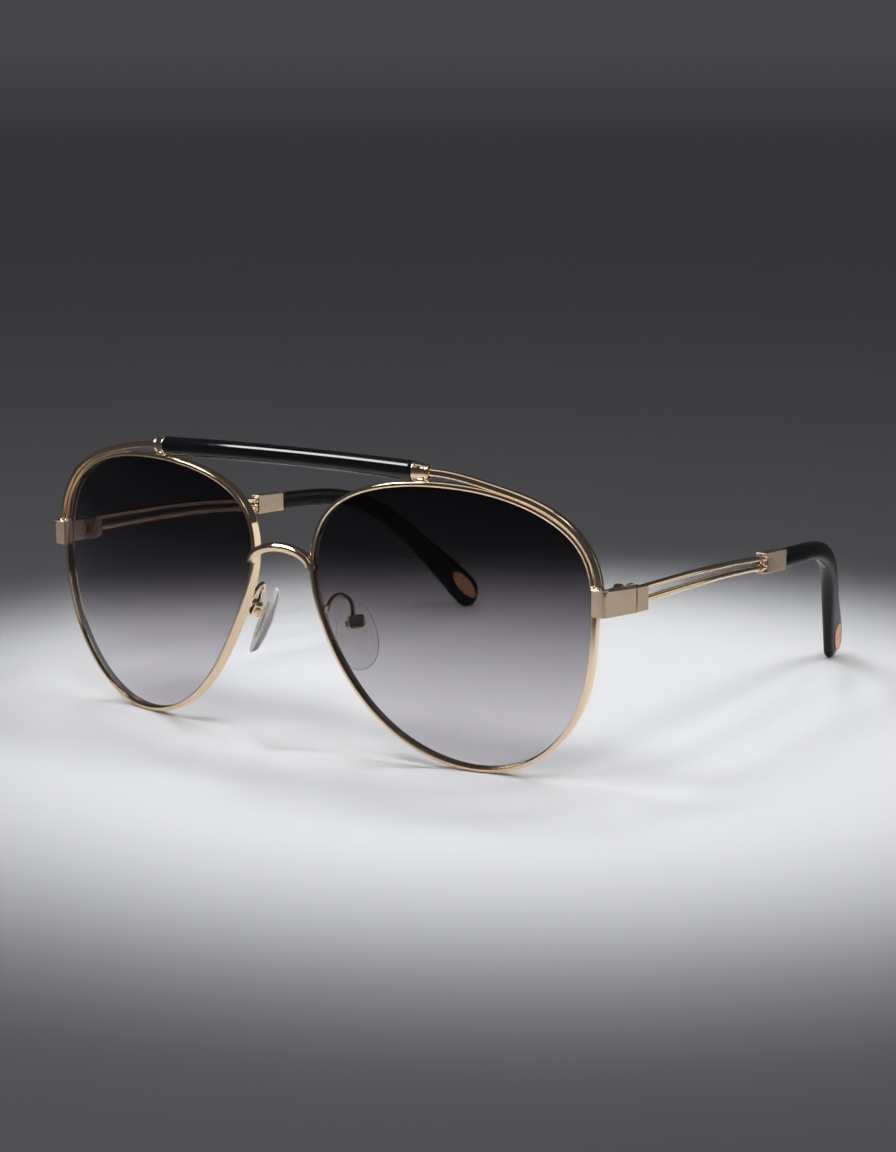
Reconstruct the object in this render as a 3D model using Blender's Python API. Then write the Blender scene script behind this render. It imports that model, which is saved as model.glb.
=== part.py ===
"""Aviator sunglasses: two full metal rims under a black brow bar, folding two-wire temples.

Every sub-part is its own object. Lengths below are in millimetres, in a design frame whose X runs
across the face (+X is the wearer's left), whose Y runs from the lenses back along the temples and
whose Z points up from the table. The pieces hang on empties, which put the middle of the
footprint at the origin and carry each moving piece on the axis of its joint.
"""

import math

import bmesh
import bpy
import numpy as np
from mathutils import Vector

MM = 0.001
SIDES = {"left": 1, "right": -1}

# Lens and rim
LENS_CENTRE_X = 38.0
LENS_OUTLINE = [
    (27.6, 0.0), (25.3, 14.6), (13.2, 22.8), (0.0, 24.9), (-13.7, 23.9), (-28.0, 16.3), (-30.2, 8.1),
    (-28.4, 0.0), (-21.9, -12.6), (-12.9, -22.2), (0.0, -27.7), (7.5, -27.8), (14.7, -25.3), (24.6, -14.2),
]
LENS_BASE_RADIUS = 83.0
FACE_WRAP = math.radians(8.7)
LENS_TILT = math.radians(2.2)
LENS_THICKNESS = 1.4
LENS_SET_BACK = 0.35
LENS_EDGE_GAP = 0.1
LENS_BEVEL = 0.2
RIM_WALL = 0.95
RIM_DEPTH = 2.1
RIM_CHAMFER = 0.15
GROOVE_DEPTH = 0.35
GROOVE_HALF_WIDTH = 0.6
RIM_STEPS = 60
BLOCK_STEPS = 3

# Gap left between pieces that are soldered, screwed or pressed together
SEAT = 0.05

# Brow bar, its metal core and its collars
BAR_HALF = 30.4
BAR_CENTRE = (2.2, 57.2)
BAR_END = (2.75, 56.7)
BAR_HEIGHT = 3.7
BAR_DEPTH = 3.0
BAR_SLANT = math.tan(math.radians(16.0))
CORE_RADIUS = 0.55
CORE_BORE = 0.62
CORE_REACH = 1.2
COLLAR_LENGTH = 3.5
COLLAR_BORE = 1.0
COLLAR_BOTTOM = 1.6
COLLAR_TURN = math.tan(math.radians(9.0))

# Brow wires, from a collar round the rim to an end piece
WIRE_THICKNESS = 1.25
WIRE_DEPTH = 1.8
WIRE_OFFSET = 1.75
WIRE_FORWARD = 0.5

# Bridge
BRIDGE_HALF = 7.6
BRIDGE_FOOT_Z = 35.8
BRIDGE_RISE = 3.7
BRIDGE_Y = 0.9
BRIDGE_HEIGHT = 1.7
BRIDGE_DEPTH = 1.9

# End pieces and temple blocks
BLOCK_FRONT = 8.3
BLOCK_TOP = 37.15
BLOCK_BOTTOM = 32.3
BLOCK_INNER = 66.0
BLOCK_OUTER = 68.8
SEAM = 17.1
SEAM_INNER = 67.65
SEAM_OUTER = 70.3
BLOCK_FALL = 0.04
BLOCK_BACK = 20.9
BLOCK_BEVEL = 0.22

# Temple hinges: the axis is upright, inside the seam, and the temple folds inwards from its stop
HINGE_AXIS = (66.4, SEAM)
KNUCKLE_RADIUS = 1.15
KNUCKLE_HEIGHTS = (32.5, 33.85, 35.45, 36.8)
HINGE_BORE = 0.58
SCREW_RADIUS = 0.5

# Temples
TEMPLE_WIRE_RADIUS = 0.65
UPPER_WIRE = [(69.15, 21.0, 36.15), (68.8, 38.0, 35.95), (68.2, 55.0, 35.3), (66.6, 71.4, 33.9)]
LOWER_WIRE = [(69.15, 21.0, 33.8), (68.8, 38.0, 33.75), (68.2, 55.0, 33.35), (66.6, 71.4, 32.1)]
FERRULE = ((65.3, 67.8), (71.5, 80.4))
FERRULE_FRONT_Z = (30.75, 35.1)
FERRULE_BACK_Z = (30.45, 34.7)

# Temple tips: where their middle line runs, and their thickness and height by share of the length
TIP_PATH = [
    (66.55, 80.6, 32.6), (65.9, 91.0, 32.2), (64.1, 102.0, 30.8), (61.0, 112.9, 26.1),
    (56.3, 124.2, 16.0), (53.6, 130.9, 9.2), (50.6, 138.3, 1.1),
]
TIP_SIZES = [
    (0.0, 2.4, 4.0), (0.25, 2.7, 4.0), (0.47, 3.1, 4.2), (0.7, 3.1, 5.2), (0.84, 2.8, 7.1),
    (0.94, 2.6, 8.0), (1.0, 2.5, 8.0),
]
TIP_POWER = 3.0
TIP_CORE_RADIUS = 0.55
TIP_CORE_BORE = 0.62
TIP_CORE_END = 0.62
MEDALLION = (4.8, 2.0)
MEDALLION_FROM_END = 6.2
MEDALLION_HALF_THICKNESS = 1.38

# Nose pads, in their own frame: across the pad, out towards the rim, up along the pad
PAD_CENTRE = (11.6, 9.6, 22.2)
PAD_SPLAY = math.radians(46.5)
PAD_LEAN = math.radians(21.7)
PAD_ROLL = math.radians(6.0)
PAD_LENGTH = 14.2
PAD_WIDTH = 8.0
PAD_THICKNESS = 1.8
PAD_FACE = 0.6
INSERT_HALF = (2.0, 4.0)
INSERT_THICKNESS = 0.4
PIVOT = (0.0, 2.35, 1.7)
LUG_HALF = (0.62, 0.75)
LUG_TOP = 2.9
BOX_HALF_WIDTH = 1.25
BOX_WALL = 0.55
BOX_OUT = (1.4, 3.8)
BOX_UP = (0.6, 3.25)
PAD_SCREW_RADIUS = 0.35
PAD_BORE = 0.43
ARM_RADIUS = 0.5
ARM_ROOT = (9.7, RIM_DEPTH + 0.75, 27.6)
# The bends of the arm, from its root: away from the nose, back, and up
ARM_BENDS = [(-0.35, 1.0, 1.2), (-0.3, 2.3, 2.2), (0.15, 4.0, 2.6), (0.85, 5.2, 1.9), (1.6, 5.7, 0.6)]

# The middle of the footprint in the design frame
FOOTPRINT_MIDDLE_Y = 69.52

MATERIALS = {
    "polished_gold": ((0.86, 0.62, 0.36), 0.12, 1.0),
    "satin_gold": ((0.80, 0.60, 0.38), 0.38, 1.0),
    "black_acetate": ((0.012, 0.012, 0.014), 0.08, 0.0),
    "gradient_lens": ((0.16, 0.13, 0.15), 0.03, 0.0),
    "clear_silicone": ((0.85, 0.85, 0.80), 0.20, 0.0),
    "copper_oval": ((0.78, 0.42, 0.25), 0.25, 1.0),
    "screw_gold": ((0.74, 0.52, 0.30), 0.25, 1.0),
    "amber_plastic": ((0.88, 0.80, 0.60), 0.15, 0.0),
}


def clear_scene():
    for obj in list(bpy.data.objects):
        bpy.data.objects.remove(obj, do_unlink=True)


def material(name):
    found = bpy.data.materials.get(name)
    if found:
        return found
    colour, roughness, metallic = MATERIALS[name]
    found = bpy.data.materials.new(name)
    found.use_nodes = True
    shader = found.node_tree.nodes["Principled BSDF"]
    shader.inputs["Base Color"].default_value = (*colour, 1.0)
    shader.inputs["Roughness"].default_value = roughness
    shader.inputs["Metallic"].default_value = metallic
    return found


def spline(knots, closed=False, samples=24):
    """Closely spaced points on the smooth cubic curve through the knots."""
    knots = np.array(knots, float)
    if closed:
        knots = np.vstack([knots, knots[0]])
    spans = np.linalg.norm(np.diff(knots, axis=0), axis=1)
    last = len(knots) - 1
    matrix = np.zeros((last + 1, last + 1))
    target = np.zeros_like(knots)
    for i in range(1, last):
        before, after = spans[i - 1], spans[i]
        matrix[i, i - 1 : i + 2] = 1 / before, 2 / before + 2 / after, 1 / after
        target[i] = 3 * ((knots[i] - knots[i - 1]) / before**2 + (knots[i + 1] - knots[i]) / after**2)
    first_pull = 3 * (knots[1] - knots[0]) / spans[0] ** 2
    last_pull = 3 * (knots[last] - knots[last - 1]) / spans[-1] ** 2
    if closed:
        matrix[0, 0], matrix[0, last] = 1, -1
        matrix[last, 0] += 2 / spans[0]
        matrix[last, 1] += 1 / spans[0]
        matrix[last, last] += 2 / spans[-1]
        matrix[last, last - 1] += 1 / spans[-1]
        target[last] = first_pull + last_pull
    else:
        matrix[0, :2] = 2 / spans[0], 1 / spans[0]
        matrix[last, last - 1 :] = 1 / spans[-1], 2 / spans[-1]
        target[0], target[last] = first_pull, last_pull
    slopes = np.linalg.solve(matrix, target)
    points = []
    for i, span in enumerate(spans):
        for t in np.arange(samples) / samples:
            start = (1 + 2 * t) * (1 - t) ** 2 * knots[i] + t * (1 - t) ** 2 * span * slopes[i]
            end = t**2 * (3 - 2 * t) * knots[i + 1] + t**2 * (t - 1) * span * slopes[i + 1]
            points.append(start + end)
    points.append(knots[last])
    return np.array(points)


def even(points, count):
    """The points again, at equal steps along the line from its first point to its last."""
    lengths = np.r_[0, np.cumsum(np.linalg.norm(np.diff(points, axis=0), axis=1))]
    steps = np.linspace(0, lengths[-1], count)
    return np.column_stack([np.interp(steps, lengths, column) for column in points.T])


def unit(vectors):
    return vectors / np.linalg.norm(vectors, axis=-1, keepdims=True)


def tangents(path, loop=False):
    if loop:
        return unit(np.roll(path, -1, axis=0) - np.roll(path, 1, axis=0))
    return unit(np.gradient(path, axis=0))


def skin(rings, loop=False):
    """Vertices and faces over rings of equal length; the ends are capped unless the rings loop."""
    rings = np.asarray(rings)
    count, around = rings.shape[:2]
    faces = []
    for i in range(count if loop else count - 1):
        j = (i + 1) % count
        for k in range(around):
            m = (k + 1) % around
            faces.append((i * around + k, i * around + m, j * around + m, j * around + k))
    if not loop:
        faces.append(tuple(range(around)))
        faces.append(tuple((count - 1) * around + k for k in range(around)))
    return rings.reshape(-1, 3), faces


def sweep(path, profile, across, loop=False):
    """The profile's (a, b) points carried along the path: a along across, b square to it."""
    profile = np.asarray(profile, float)
    forward = tangents(path, loop)
    across = unit(across - (across * forward).sum(-1, keepdims=True) * forward)
    other = np.cross(forward, across)
    if profile.ndim == 2:
        profile = np.repeat(profile[None], len(path), axis=0)
    rings = path[:, None] + profile[..., :1] * across[:, None] + profile[..., 1:] * other[:, None]
    return skin(rings, loop)


def oval(width, height, count, power=2.0):
    """An oval outline; a power over 2 squares it off."""
    angles = 2 * math.pi * (np.arange(count) + 0.5) / count
    c, s = np.cos(angles), np.sin(angles)
    reach = (np.abs(c) ** power + np.abs(s) ** power) ** (-1 / power)
    return np.column_stack([width / 2 * reach * c, height / 2 * reach * s])


def rod(path, radius, sides=8):
    side = np.tile([1.0, 0.0, 0.0], (len(path), 1))
    if abs(tangents(path)[:, 0]).max() > 0.9:
        side = np.tile([0.0, 1.0, 0.0], (len(path), 1))
    return sweep(np.asarray(path, float), oval(2 * radius, 2 * radius, sides), side)


def prism(outline, low, high):
    """An outline in X and Y between two heights, which may vary from point to point."""
    outline = np.asarray(outline, float)
    low = np.broadcast_to(low, len(outline))
    high = np.broadcast_to(high, len(outline))
    return skin([np.column_stack([outline, low]), np.column_stack([outline, high])])


def box(x, y, z):
    return prism([(x[0], y[0]), (x[1], y[0]), (x[1], y[1]), (x[0], y[1])], z[0], z[1])


def turned(profile, start, axis, squash=1.0, sides=16):
    """A closed (radius, distance) profile spun round the line from start along axis."""
    axis = unit(np.asarray(axis, float))
    first = unit(np.cross(axis, (0.0, 1.0, 0.0) if abs(axis[1]) < 0.9 else (1.0, 0.0, 0.0)))
    second = np.cross(axis, first) * squash
    mesh = bmesh.new()
    rings = []
    for radius, distance in profile:
        centre = np.asarray(start, float) + distance * axis
        if radius == 0:
            rings.append([mesh.verts.new(centre)])
            continue
        angles = 2 * math.pi * (np.arange(sides) + 0.5) / sides
        spots = centre + radius * (np.outer(np.cos(angles), first) + np.outer(np.sin(angles), second))
        rings.append([mesh.verts.new(spot) for spot in spots])
    for ring, following in zip(rings, rings[1:] + rings[:1]):
        for k in range(sides):
            m = (k + 1) % sides
            corners = [ring[k % len(ring)], ring[m % len(ring)], following[m % len(following)]]
            corners.append(following[k % len(following)])
            corners = list(dict.fromkeys(corners))
            if len(corners) > 2:
                mesh.faces.new(corners)
    return mesh_data(mesh)


def mesh_data(mesh):
    mesh.verts.index_update()
    vertices = np.array([vertex.co[:] for vertex in mesh.verts])
    faces = [tuple(vertex.index for vertex in face.verts) for face in mesh.faces]
    mesh.free()
    return vertices, faces


def cylinder(start, axis, radius, length, sides=16):
    return turned([(0, 0), (radius, 0), (radius, length), (0, length)], start, axis, sides=sides)


class Body:
    """An empty that its pieces hang on; a moving body's empty stands on its joint's axis."""

    def __init__(self, name, pivot, parent=None):
        self.pivot = Vector(pivot)
        self.empty = bpy.data.objects.new(name, None)
        bpy.context.scene.collection.objects.link(self.empty)
        if parent:
            self.empty.parent = parent.empty
            self.empty.location = (self.pivot - parent.pivot) * MM
        else:
            self.empty.location = self.pivot * MM

    def add(self, name, shape, side=1, look=None, bevel=0.0, cuts=(), joins=()):
        """Adds a piece given on the +X side, mirrored for the other side, with its cuts and unions."""
        obj = self.solid(name, shape, side)
        for operation, others in (("UNION", joins), ("DIFFERENCE", cuts)):
            for number, other in enumerate(others):
                helper = self.solid(f"{name}_{operation.lower()}_{number}", other, side)
                helper.hide_render = True
                helper.display_type = "WIRE"
                modifier = obj.modifiers.new(operation.title(), "BOOLEAN")
                modifier.operation = operation
                modifier.solver = "EXACT"
                modifier.object = helper
        if bevel:
            modifier = obj.modifiers.new("Bevel", "BEVEL")
            modifier.width = bevel * MM
            modifier.segments = 2
            modifier.limit_method = "ANGLE"
            modifier.angle_limit = math.radians(40)
        obj.data.materials.append(material(look))
        return obj

    def solid(self, name, shape, side):
        vertices, faces = shape
        vertices = (np.asarray(vertices) * (side, 1, 1) - self.pivot[:]) * MM
        data = bpy.data.meshes.new(name)
        data.from_pydata([tuple(v) for v in vertices], [], faces)
        mesh = bmesh.new()
        mesh.from_mesh(data)
        bmesh.ops.recalc_face_normals(mesh, faces=mesh.faces)
        mesh.to_mesh(data)
        mesh.free()
        data.shade_smooth()
        data.set_sharp_from_angle(angle=math.radians(35))
        obj = bpy.data.objects.new(name, data)
        obj.parent = self.empty
        bpy.context.scene.collection.objects.link(obj)
        return obj


# The lens outline, as a loop that starts at the temple side and runs up over the brow

OUTLINE = spline(LENS_OUTLINE, closed=True)
LENS_CENTRE_Z = RIM_WALL - OUTLINE[:, 1].min()
LENS_AXIS = unit(np.array([-math.tan(FACE_WRAP), 1.0, math.tan(LENS_TILT)]))


def on_lens(across, up):
    """Where the rim's front plane, curved like the lens, lies at a place in the lens outline."""
    sag = (across**2 + up**2) / (2 * LENS_BASE_RADIUS)
    y = sag + across * math.tan(FACE_WRAP) - up * math.tan(LENS_TILT)
    return np.column_stack([across + LENS_CENTRE_X, y, up + LENS_CENTRE_Z])


def loop_frames(path, loop):
    outward = unit(np.cross(tangents(path, loop), np.tile(LENS_AXIS, (len(path), 1))))
    middle = np.array([LENS_CENTRE_X, 0.0, LENS_CENTRE_Z])
    return outward * np.sign(((path - middle) * outward).sum(-1, keepdims=True))


def along_rim(path, outward, profile):
    """Rings of (out from the inner edge, back from the front) points round the rim."""
    profile = np.asarray(profile, float)
    return path[:, None] + profile[:, :1] * outward[:, None] + profile[:, 1:] * LENS_AXIS


def rim_path(count):
    """The rim's front inner edge, from the top of the end piece round to its underside."""
    points = on_lens(*OUTLINE[:-1].T)
    above = (points[:, 0] > LENS_CENTRE_X) & (points[:, 2] > BLOCK_TOP + SEAT)
    turned_points = np.roll(points, -np.flatnonzero(above)[0], axis=0)
    return even(np.array([point for point in turned_points if not beside_block(point)]), count)


def beside_block(point):
    return point[0] > LENS_CENTRE_X and BLOCK_BOTTOM - SEAT < point[2] < BLOCK_TOP + SEAT


def make_rim(front, name, side):
    path = rim_path(RIM_STEPS)
    c, w, d = RIM_CHAMFER, RIM_WALL, RIM_DEPTH
    groove = d / 2
    profile = [
        (0, 0), (w - c, 0), (w, c), (w, d - c), (w - c, d), (0, d),
        (0, groove + GROOVE_HALF_WIDTH), (GROOVE_DEPTH, groove), (0, groove - GROOVE_HALF_WIDTH),
    ]
    shape = skin(along_rim(path, loop_frames(path, False), profile))
    front.add(f"rim_{name}", shape, side, "polished_gold")


def make_lens(front, name, side):
    """The edge follows the rim's own corners, and closes the loop across the end piece."""
    rim = rim_path(RIM_STEPS)
    closing = np.linspace(rim[-1], rim[0], BLOCK_STEPS + 2)[1:-1, 2] - LENS_CENTRE_Z
    beside = OUTLINE[OUTLINE[:, 0] > 0]
    order = np.argsort(beside[:, 1])
    across = np.interp(closing, beside[order, 1], beside[order, 0])
    rims = np.vstack([rim, on_lens(across, closing)])
    outline = rims[:, [0, 2]] - (LENS_CENTRE_X, LENS_CENTRE_Z)
    outward = loop_frames(rims, True)
    back = LENS_SET_BACK + LENS_THICKNESS
    edge = [(-LENS_EDGE_GAP, LENS_SET_BACK), (LENS_BEVEL, RIM_DEPTH / 2), (-LENS_EDGE_GAP, back)]
    ring = along_rim(rims, outward, edge)
    layers = []
    for depth, rows in ((LENS_SET_BACK, (0.35, 0.7)), (back, (0.7, 0.35))):
        inner = [on_lens(*(outline * scale).T) + depth * LENS_AXIS for scale in rows]
        layers.append(inner)
    rings = [*layers[0], ring[:, 0], ring[:, 1], ring[:, 2], *layers[1]]
    front.add(f"lens_{name}", skin(rings), side, "gradient_lens")


def bar_path(count, half):
    x = np.linspace(-half, half, count)
    share = (x / BAR_HALF) ** 2
    y = BAR_CENTRE[0] + (BAR_END[0] - BAR_CENTRE[0]) * share
    z = BAR_CENTRE[1] + (BAR_END[1] - BAR_CENTRE[1]) * share
    return np.column_stack([x, y, z])


def make_brow_bar(front):
    path = bar_path(13, BAR_HALF - SEAT)
    up = np.tile([0.0, 0.0, 1.0], (len(path), 1))
    vertices, faces = sweep(path, oval(BAR_HEIGHT, BAR_DEPTH, 16, power=2.3), up)
    ends = np.abs(vertices[:, 0]) > BAR_HALF - 1
    vertices[ends, 0] += np.sign(vertices[ends, 0]) * BAR_SLANT * (BAR_END[0] - vertices[ends, 1])
    bore = sweep(bar_path(13, BAR_HALF + 1), oval(2 * CORE_BORE, 2 * CORE_BORE, 8), up)
    front.add("brow_bar", (vertices, faces), look="black_acetate", cuts=[bore])
    core_path = bar_path(15, BAR_HALF + CORE_REACH)
    core = sweep(core_path, oval(2 * CORE_RADIUS, 2 * CORE_RADIUS, 8), np.tile([0.0, 0.0, 1.0], (15, 1)))
    front.add("brow_core", core, look="screw_gold")


def collar_axis():
    ends = bar_path(61, BAR_HALF)[-2:]
    along = unit(ends[1] - ends[0])
    return ends[1], unit(along + (0.0, COLLAR_TURN, 0.0))


def make_collar(front, name, side):
    start, axis = collar_axis()
    r, length = BAR_HEIGHT / 2, COLLAR_LENGTH
    bore_end = length - COLLAR_BOTTOM
    profile = [
        (COLLAR_BORE, 0), (r, 0), (r + 0.05, 0.3), (r, 0.7), (r - 0.1, length - 0.35), (r - 0.35, length),
        (0, length), (0, bore_end), (COLLAR_BORE, bore_end),
    ]
    vertices, faces = turned(profile, start, axis, squash=BAR_DEPTH / BAR_HEIGHT)
    vertices[:, 0] += (BAR_SLANT - COLLAR_TURN) * (start[1] - vertices[:, 1])
    front.add(f"brow_collar_{name}", (vertices, faces), side, "polished_gold")


def brow_wire_path(count):
    """From the collar over the top of the rim and down beside it to the top of the end piece."""
    start, axis = collar_axis()
    rims = rim_path(RIM_STEPS * 4)
    outward = loop_frames(rims, False)
    beside = rims + WIRE_OFFSET * outward + WIRE_FORWARD * LENS_AXIS
    beside = beside[rims[:, 0] > LENS_CENTRE_X + 8.0]
    beside = beside[beside[:, 2] > LENS_CENTRE_Z]
    beside = beside[beside[:, 2] > BLOCK_TOP + 0.3]
    foot = np.array([beside[0][0], beside[0][1], BLOCK_TOP + SEAT])
    leave = start + axis * (COLLAR_LENGTH + SEAT + BAR_SLANT * WIRE_DEPTH / 2)
    knots = [leave, leave + 1.5 * axis, *beside[::-1][::12], foot]
    return even(spline(knots), count)


def make_brow_wire(front, name, side):
    path = brow_wire_path(26)
    across = loop_frames(path, False)
    profile = oval(WIRE_THICKNESS, WIRE_DEPTH, 8, power=4)
    front.add(f"brow_wire_{name}", sweep(path, profile, across), side, "polished_gold")


def make_bridge(front):
    angles = np.linspace(math.pi, 0, 25)
    z = BRIDGE_FOOT_Z + BRIDGE_RISE * np.sin(angles)
    path = np.column_stack([BRIDGE_HALF * np.cos(angles), np.full(25, BRIDGE_Y), z])
    bar = sweep(path, oval(BRIDGE_DEPTH, BRIDGE_HEIGHT, 10, power=2.4), np.tile([0.0, 1.0, 0.0], (25, 1)))
    rims = rim_path(RIM_STEPS)
    reach = RIM_WALL + SEAT
    cutter = [(-2, -SEAT), (reach, -SEAT), (reach, RIM_DEPTH + 1), (-2, RIM_DEPTH + 1)]
    vertices, faces = skin(along_rim(rims, loop_frames(rims, False), cutter))
    front.add("bridge", bar, look="polished_gold", cuts=[(vertices, faces), (vertices * (-1, 1, 1), faces)])


def block_heights(outline):
    """The block's underside and top, which fall a little towards the temple."""
    back = np.array([y for _, y in outline]) - BLOCK_FRONT
    return BLOCK_BOTTOM - 0.01 * back, BLOCK_TOP - BLOCK_FALL * back


def make_end_piece(front, name, side):
    corner = [(BLOCK_OUTER - 0.9, BLOCK_FRONT), (BLOCK_OUTER - 0.25, BLOCK_FRONT + 0.2)]
    corner += [(BLOCK_OUTER + 0.05, BLOCK_FRONT + 0.9)]
    outline = [(BLOCK_INNER, BLOCK_FRONT), *corner, (SEAM_OUTER, SEAM - SEAT / 2)]
    outline += [(SEAM_INNER, SEAM - SEAT / 2), (BLOCK_INNER + 1.35, 11.4), (BLOCK_INNER, 11.0)]
    bore = cylinder(lock_screw_foot() - (0, 0, 1), (0, 0, 1), PAD_BORE + 0.1, 4.4)
    shape = prism(outline, *block_heights(outline))
    front.add(f"end_piece_{name}", shape, side, "satin_gold", BLOCK_BEVEL, cuts=[bore])


def lock_screw_foot():
    return np.array([BLOCK_INNER + 1.45, BLOCK_FRONT + 1.6, BLOCK_BOTTOM])


def make_lock_screw(front, name, side):
    screw = cylinder(lock_screw_foot() + (0, 0, 0.1), (0, 0, 1), PAD_BORE, 3.1)
    front.add(f"rim_lock_screw_{name}", screw, side, "screw_gold")


def knuckle(low, high, towards):
    """A knuckle round the hinge axis, drawn out to meet a leaf on one side of it."""
    x, y = HINGE_AXIS
    start = 0 if towards < 0 else math.pi
    arc = [start + math.pi * k / 12 for k in range(13)]
    outline = [(x + KNUCKLE_RADIUS * math.cos(a), y + KNUCKLE_RADIUS * math.sin(a)) for a in arc]
    reach = y + towards * 2.4
    leaf = [(x + 0.2, reach), (x + 0.85, reach)]
    outline += leaf if towards < 0 else leaf[::-1]
    return prism(outline, low, high)


def hinge_bore():
    return cylinder((*HINGE_AXIS, 31.0), (0, 0, 1), HINGE_BORE, 8.0)


def make_front_hinge(front, name, side):
    low, mid_low, mid_high, high = KNUCKLE_HEIGHTS
    x, y = HINGE_AXIS
    leaf = box((x + 0.12, x + 0.87), (11.8, y - 1.5), (low - 0.05, high + 0.05))
    knuckles = [knuckle(low, mid_low, -1), knuckle(mid_high, high, -1)]
    front.add(f"front_hinge_{name}", leaf, side, "satin_gold", joins=knuckles, cuts=[hinge_bore()])


def make_temple_hinge(temple, name, side):
    low, mid_low, mid_high, high = KNUCKLE_HEIGHTS
    x, y = HINGE_AXIS
    leaf = box((x + 0.45, x + 1.2), (y + 1.5, BLOCK_BACK - 0.3), (low - 0.05, high + 0.05))
    arm = knuckle(mid_low + SEAT, mid_high - SEAT, 1)
    temple.add(f"temple_hinge_{name}", leaf, side, "satin_gold", joins=[arm], cuts=[hinge_bore()])


def make_hinge_screw(front, name, side):
    low, _, _, high = KNUCKLE_HEIGHTS
    head = high + SEAT
    profile = [(0, low), (SCREW_RADIUS, low), (SCREW_RADIUS, head), (0.85, head), (0.85, head + 0.3)]
    profile += [(0.6, head + 0.45), (0, head + 0.45)]
    screw = turned(profile, (*HINGE_AXIS, 0.0), (0, 0, 1))
    front.add(f"hinge_screw_{name}", screw, side, "screw_gold")


def make_temple_block(temple, name, side):
    front_y = SEAM + SEAT / 2
    outline = [(SEAM_INNER, front_y), (SEAM_OUTER, front_y)]
    outline += [(SEAM_OUTER + 0.2, BLOCK_BACK), (SEAM_INNER + 0.15, BLOCK_BACK)]
    shape = prism(outline, *block_heights(outline))
    temple.add(f"temple_block_{name}", shape, side, "satin_gold", BLOCK_BEVEL)


def make_temple_wires(temple, name, side):
    for which, knots in (("upper", UPPER_WIRE), ("lower", LOWER_WIRE)):
        shape = rod(even(spline(knots), 9), TEMPLE_WIRE_RADIUS)
        temple.add(f"temple_wire_{which}_{name}", shape, side, "polished_gold")


def make_ferrule(temple, name, side):
    (inner, outer), (front_y, back_y) = FERRULE
    outline = [(inner, front_y), (outer, front_y), (outer - 0.05, back_y), (inner + 0.05, back_y)]
    low = [FERRULE_FRONT_Z[0]] * 2 + [FERRULE_BACK_Z[0]] * 2
    high = [FERRULE_FRONT_Z[1]] * 2 + [FERRULE_BACK_Z[1]] * 2
    temple.add(f"temple_ferrule_{name}", prism(outline, low, high), side, "satin_gold", 0.25)


def tip_sections(count):
    """The tip's path, and its thickness and height there: a bar that swells to a round-ended paddle."""
    dense = even(spline(TIP_PATH), 2000)
    length = np.linalg.norm(np.diff(dense, axis=0), axis=1).sum()
    sizes = spline(TIP_SIZES)
    round_end = TIP_SIZES[-1][2] / 2
    body = np.linspace(0, length - round_end, count - 6)
    ends = length - round_end * (1 - np.sin(np.linspace(0, 1, 7)[1:] * math.radians(84)))
    steps = np.r_[body, ends]
    path = np.column_stack([np.interp(steps, np.linspace(0, length, len(dense)), c) for c in dense.T])
    thick, high = (np.interp(steps / length, sizes[:, 0], sizes[:, k]) for k in (1, 2))
    left = np.clip((length - steps) / round_end, 0, 1)
    rounding = np.sqrt(1 - (1 - left) ** 2)
    return path, thick * (0.45 + 0.55 * rounding), high * rounding


def make_tip(temple, name, side):
    path, thick, high = tip_sections(24)
    profiles = np.array([oval(t, h, 12, power=TIP_POWER) for t, h in zip(thick, high)])
    inwards = np.tile([1.0, 0.0, 0.0], (len(path), 1))
    shape = sweep(path, profiles, inwards)
    core = tip_core_path()
    lead = core[0] - (core[1] - core[0])
    bore = rod(np.vstack([lead, core]), TIP_CORE_BORE, 6)
    hole = medallion_shape(SEAT, MEDALLION_HALF_THICKNESS + 2)
    temple.add(f"temple_tip_{name}", shape, side, "black_acetate", cuts=[bore, hole])
    pin = core.copy()
    pin[0] += (pin[1] - pin[0]) * 0.02
    pin[-1] += (pin[-2] - pin[-1]) * 0.05
    temple.add(f"tip_core_{name}", rod(pin, TIP_CORE_RADIUS, 6), side, "screw_gold")
    temple.add(f"tip_medallion_{name}", medallion_shape(0.0, MEDALLION_HALF_THICKNESS), side, "copper_oval")


def tip_core_path():
    path = tip_sections(24)[0]
    return path[: int(len(path) * TIP_CORE_END)]


def medallion_shape(margin, half_thick):
    """An oval plug straight through the paddle, long way along it."""
    dense = even(spline(TIP_PATH), 400)
    lengths = np.linalg.norm(np.diff(dense, axis=0), axis=1)
    spot = len(dense) - 1 - int(MEDALLION_FROM_END / lengths[0])
    forward = unit(dense[spot + 25] - dense[spot - 25])
    through = unit(np.array([1.0, 0.0, 0.0]) - forward[0] * forward)
    wide = np.cross(forward, through)
    angles = 2 * math.pi * np.arange(20) / 20
    long_way = (MEDALLION[0] + margin) * np.outer(np.cos(angles), forward)
    around = long_way + (MEDALLION[1] + margin) * np.outer(np.sin(angles), wide)
    return skin([dense[spot] + around - half_thick * through, dense[spot] + around + half_thick * through])


def pad_frame():
    out = np.array([
        math.cos(PAD_SPLAY) * math.cos(PAD_LEAN), -math.sin(PAD_SPLAY) * math.cos(PAD_LEAN), math.sin(PAD_LEAN),
    ])
    upright = unit(np.array([0.0, 0.0, 1.0]) - out[2] * out)
    level = np.cross(upright, out)
    across = math.cos(PAD_ROLL) * level + math.sin(PAD_ROLL) * upright
    up = math.cos(PAD_ROLL) * upright - math.sin(PAD_ROLL) * level
    return np.array([across, out, up])


def in_pad_frame(shape):
    vertices, faces = shape
    return np.asarray(vertices) @ pad_frame() + PAD_CENTRE, faces


def pad_spot(across, out, up):
    return np.array([across, out, up]) @ pad_frame() + PAD_CENTRE


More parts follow.
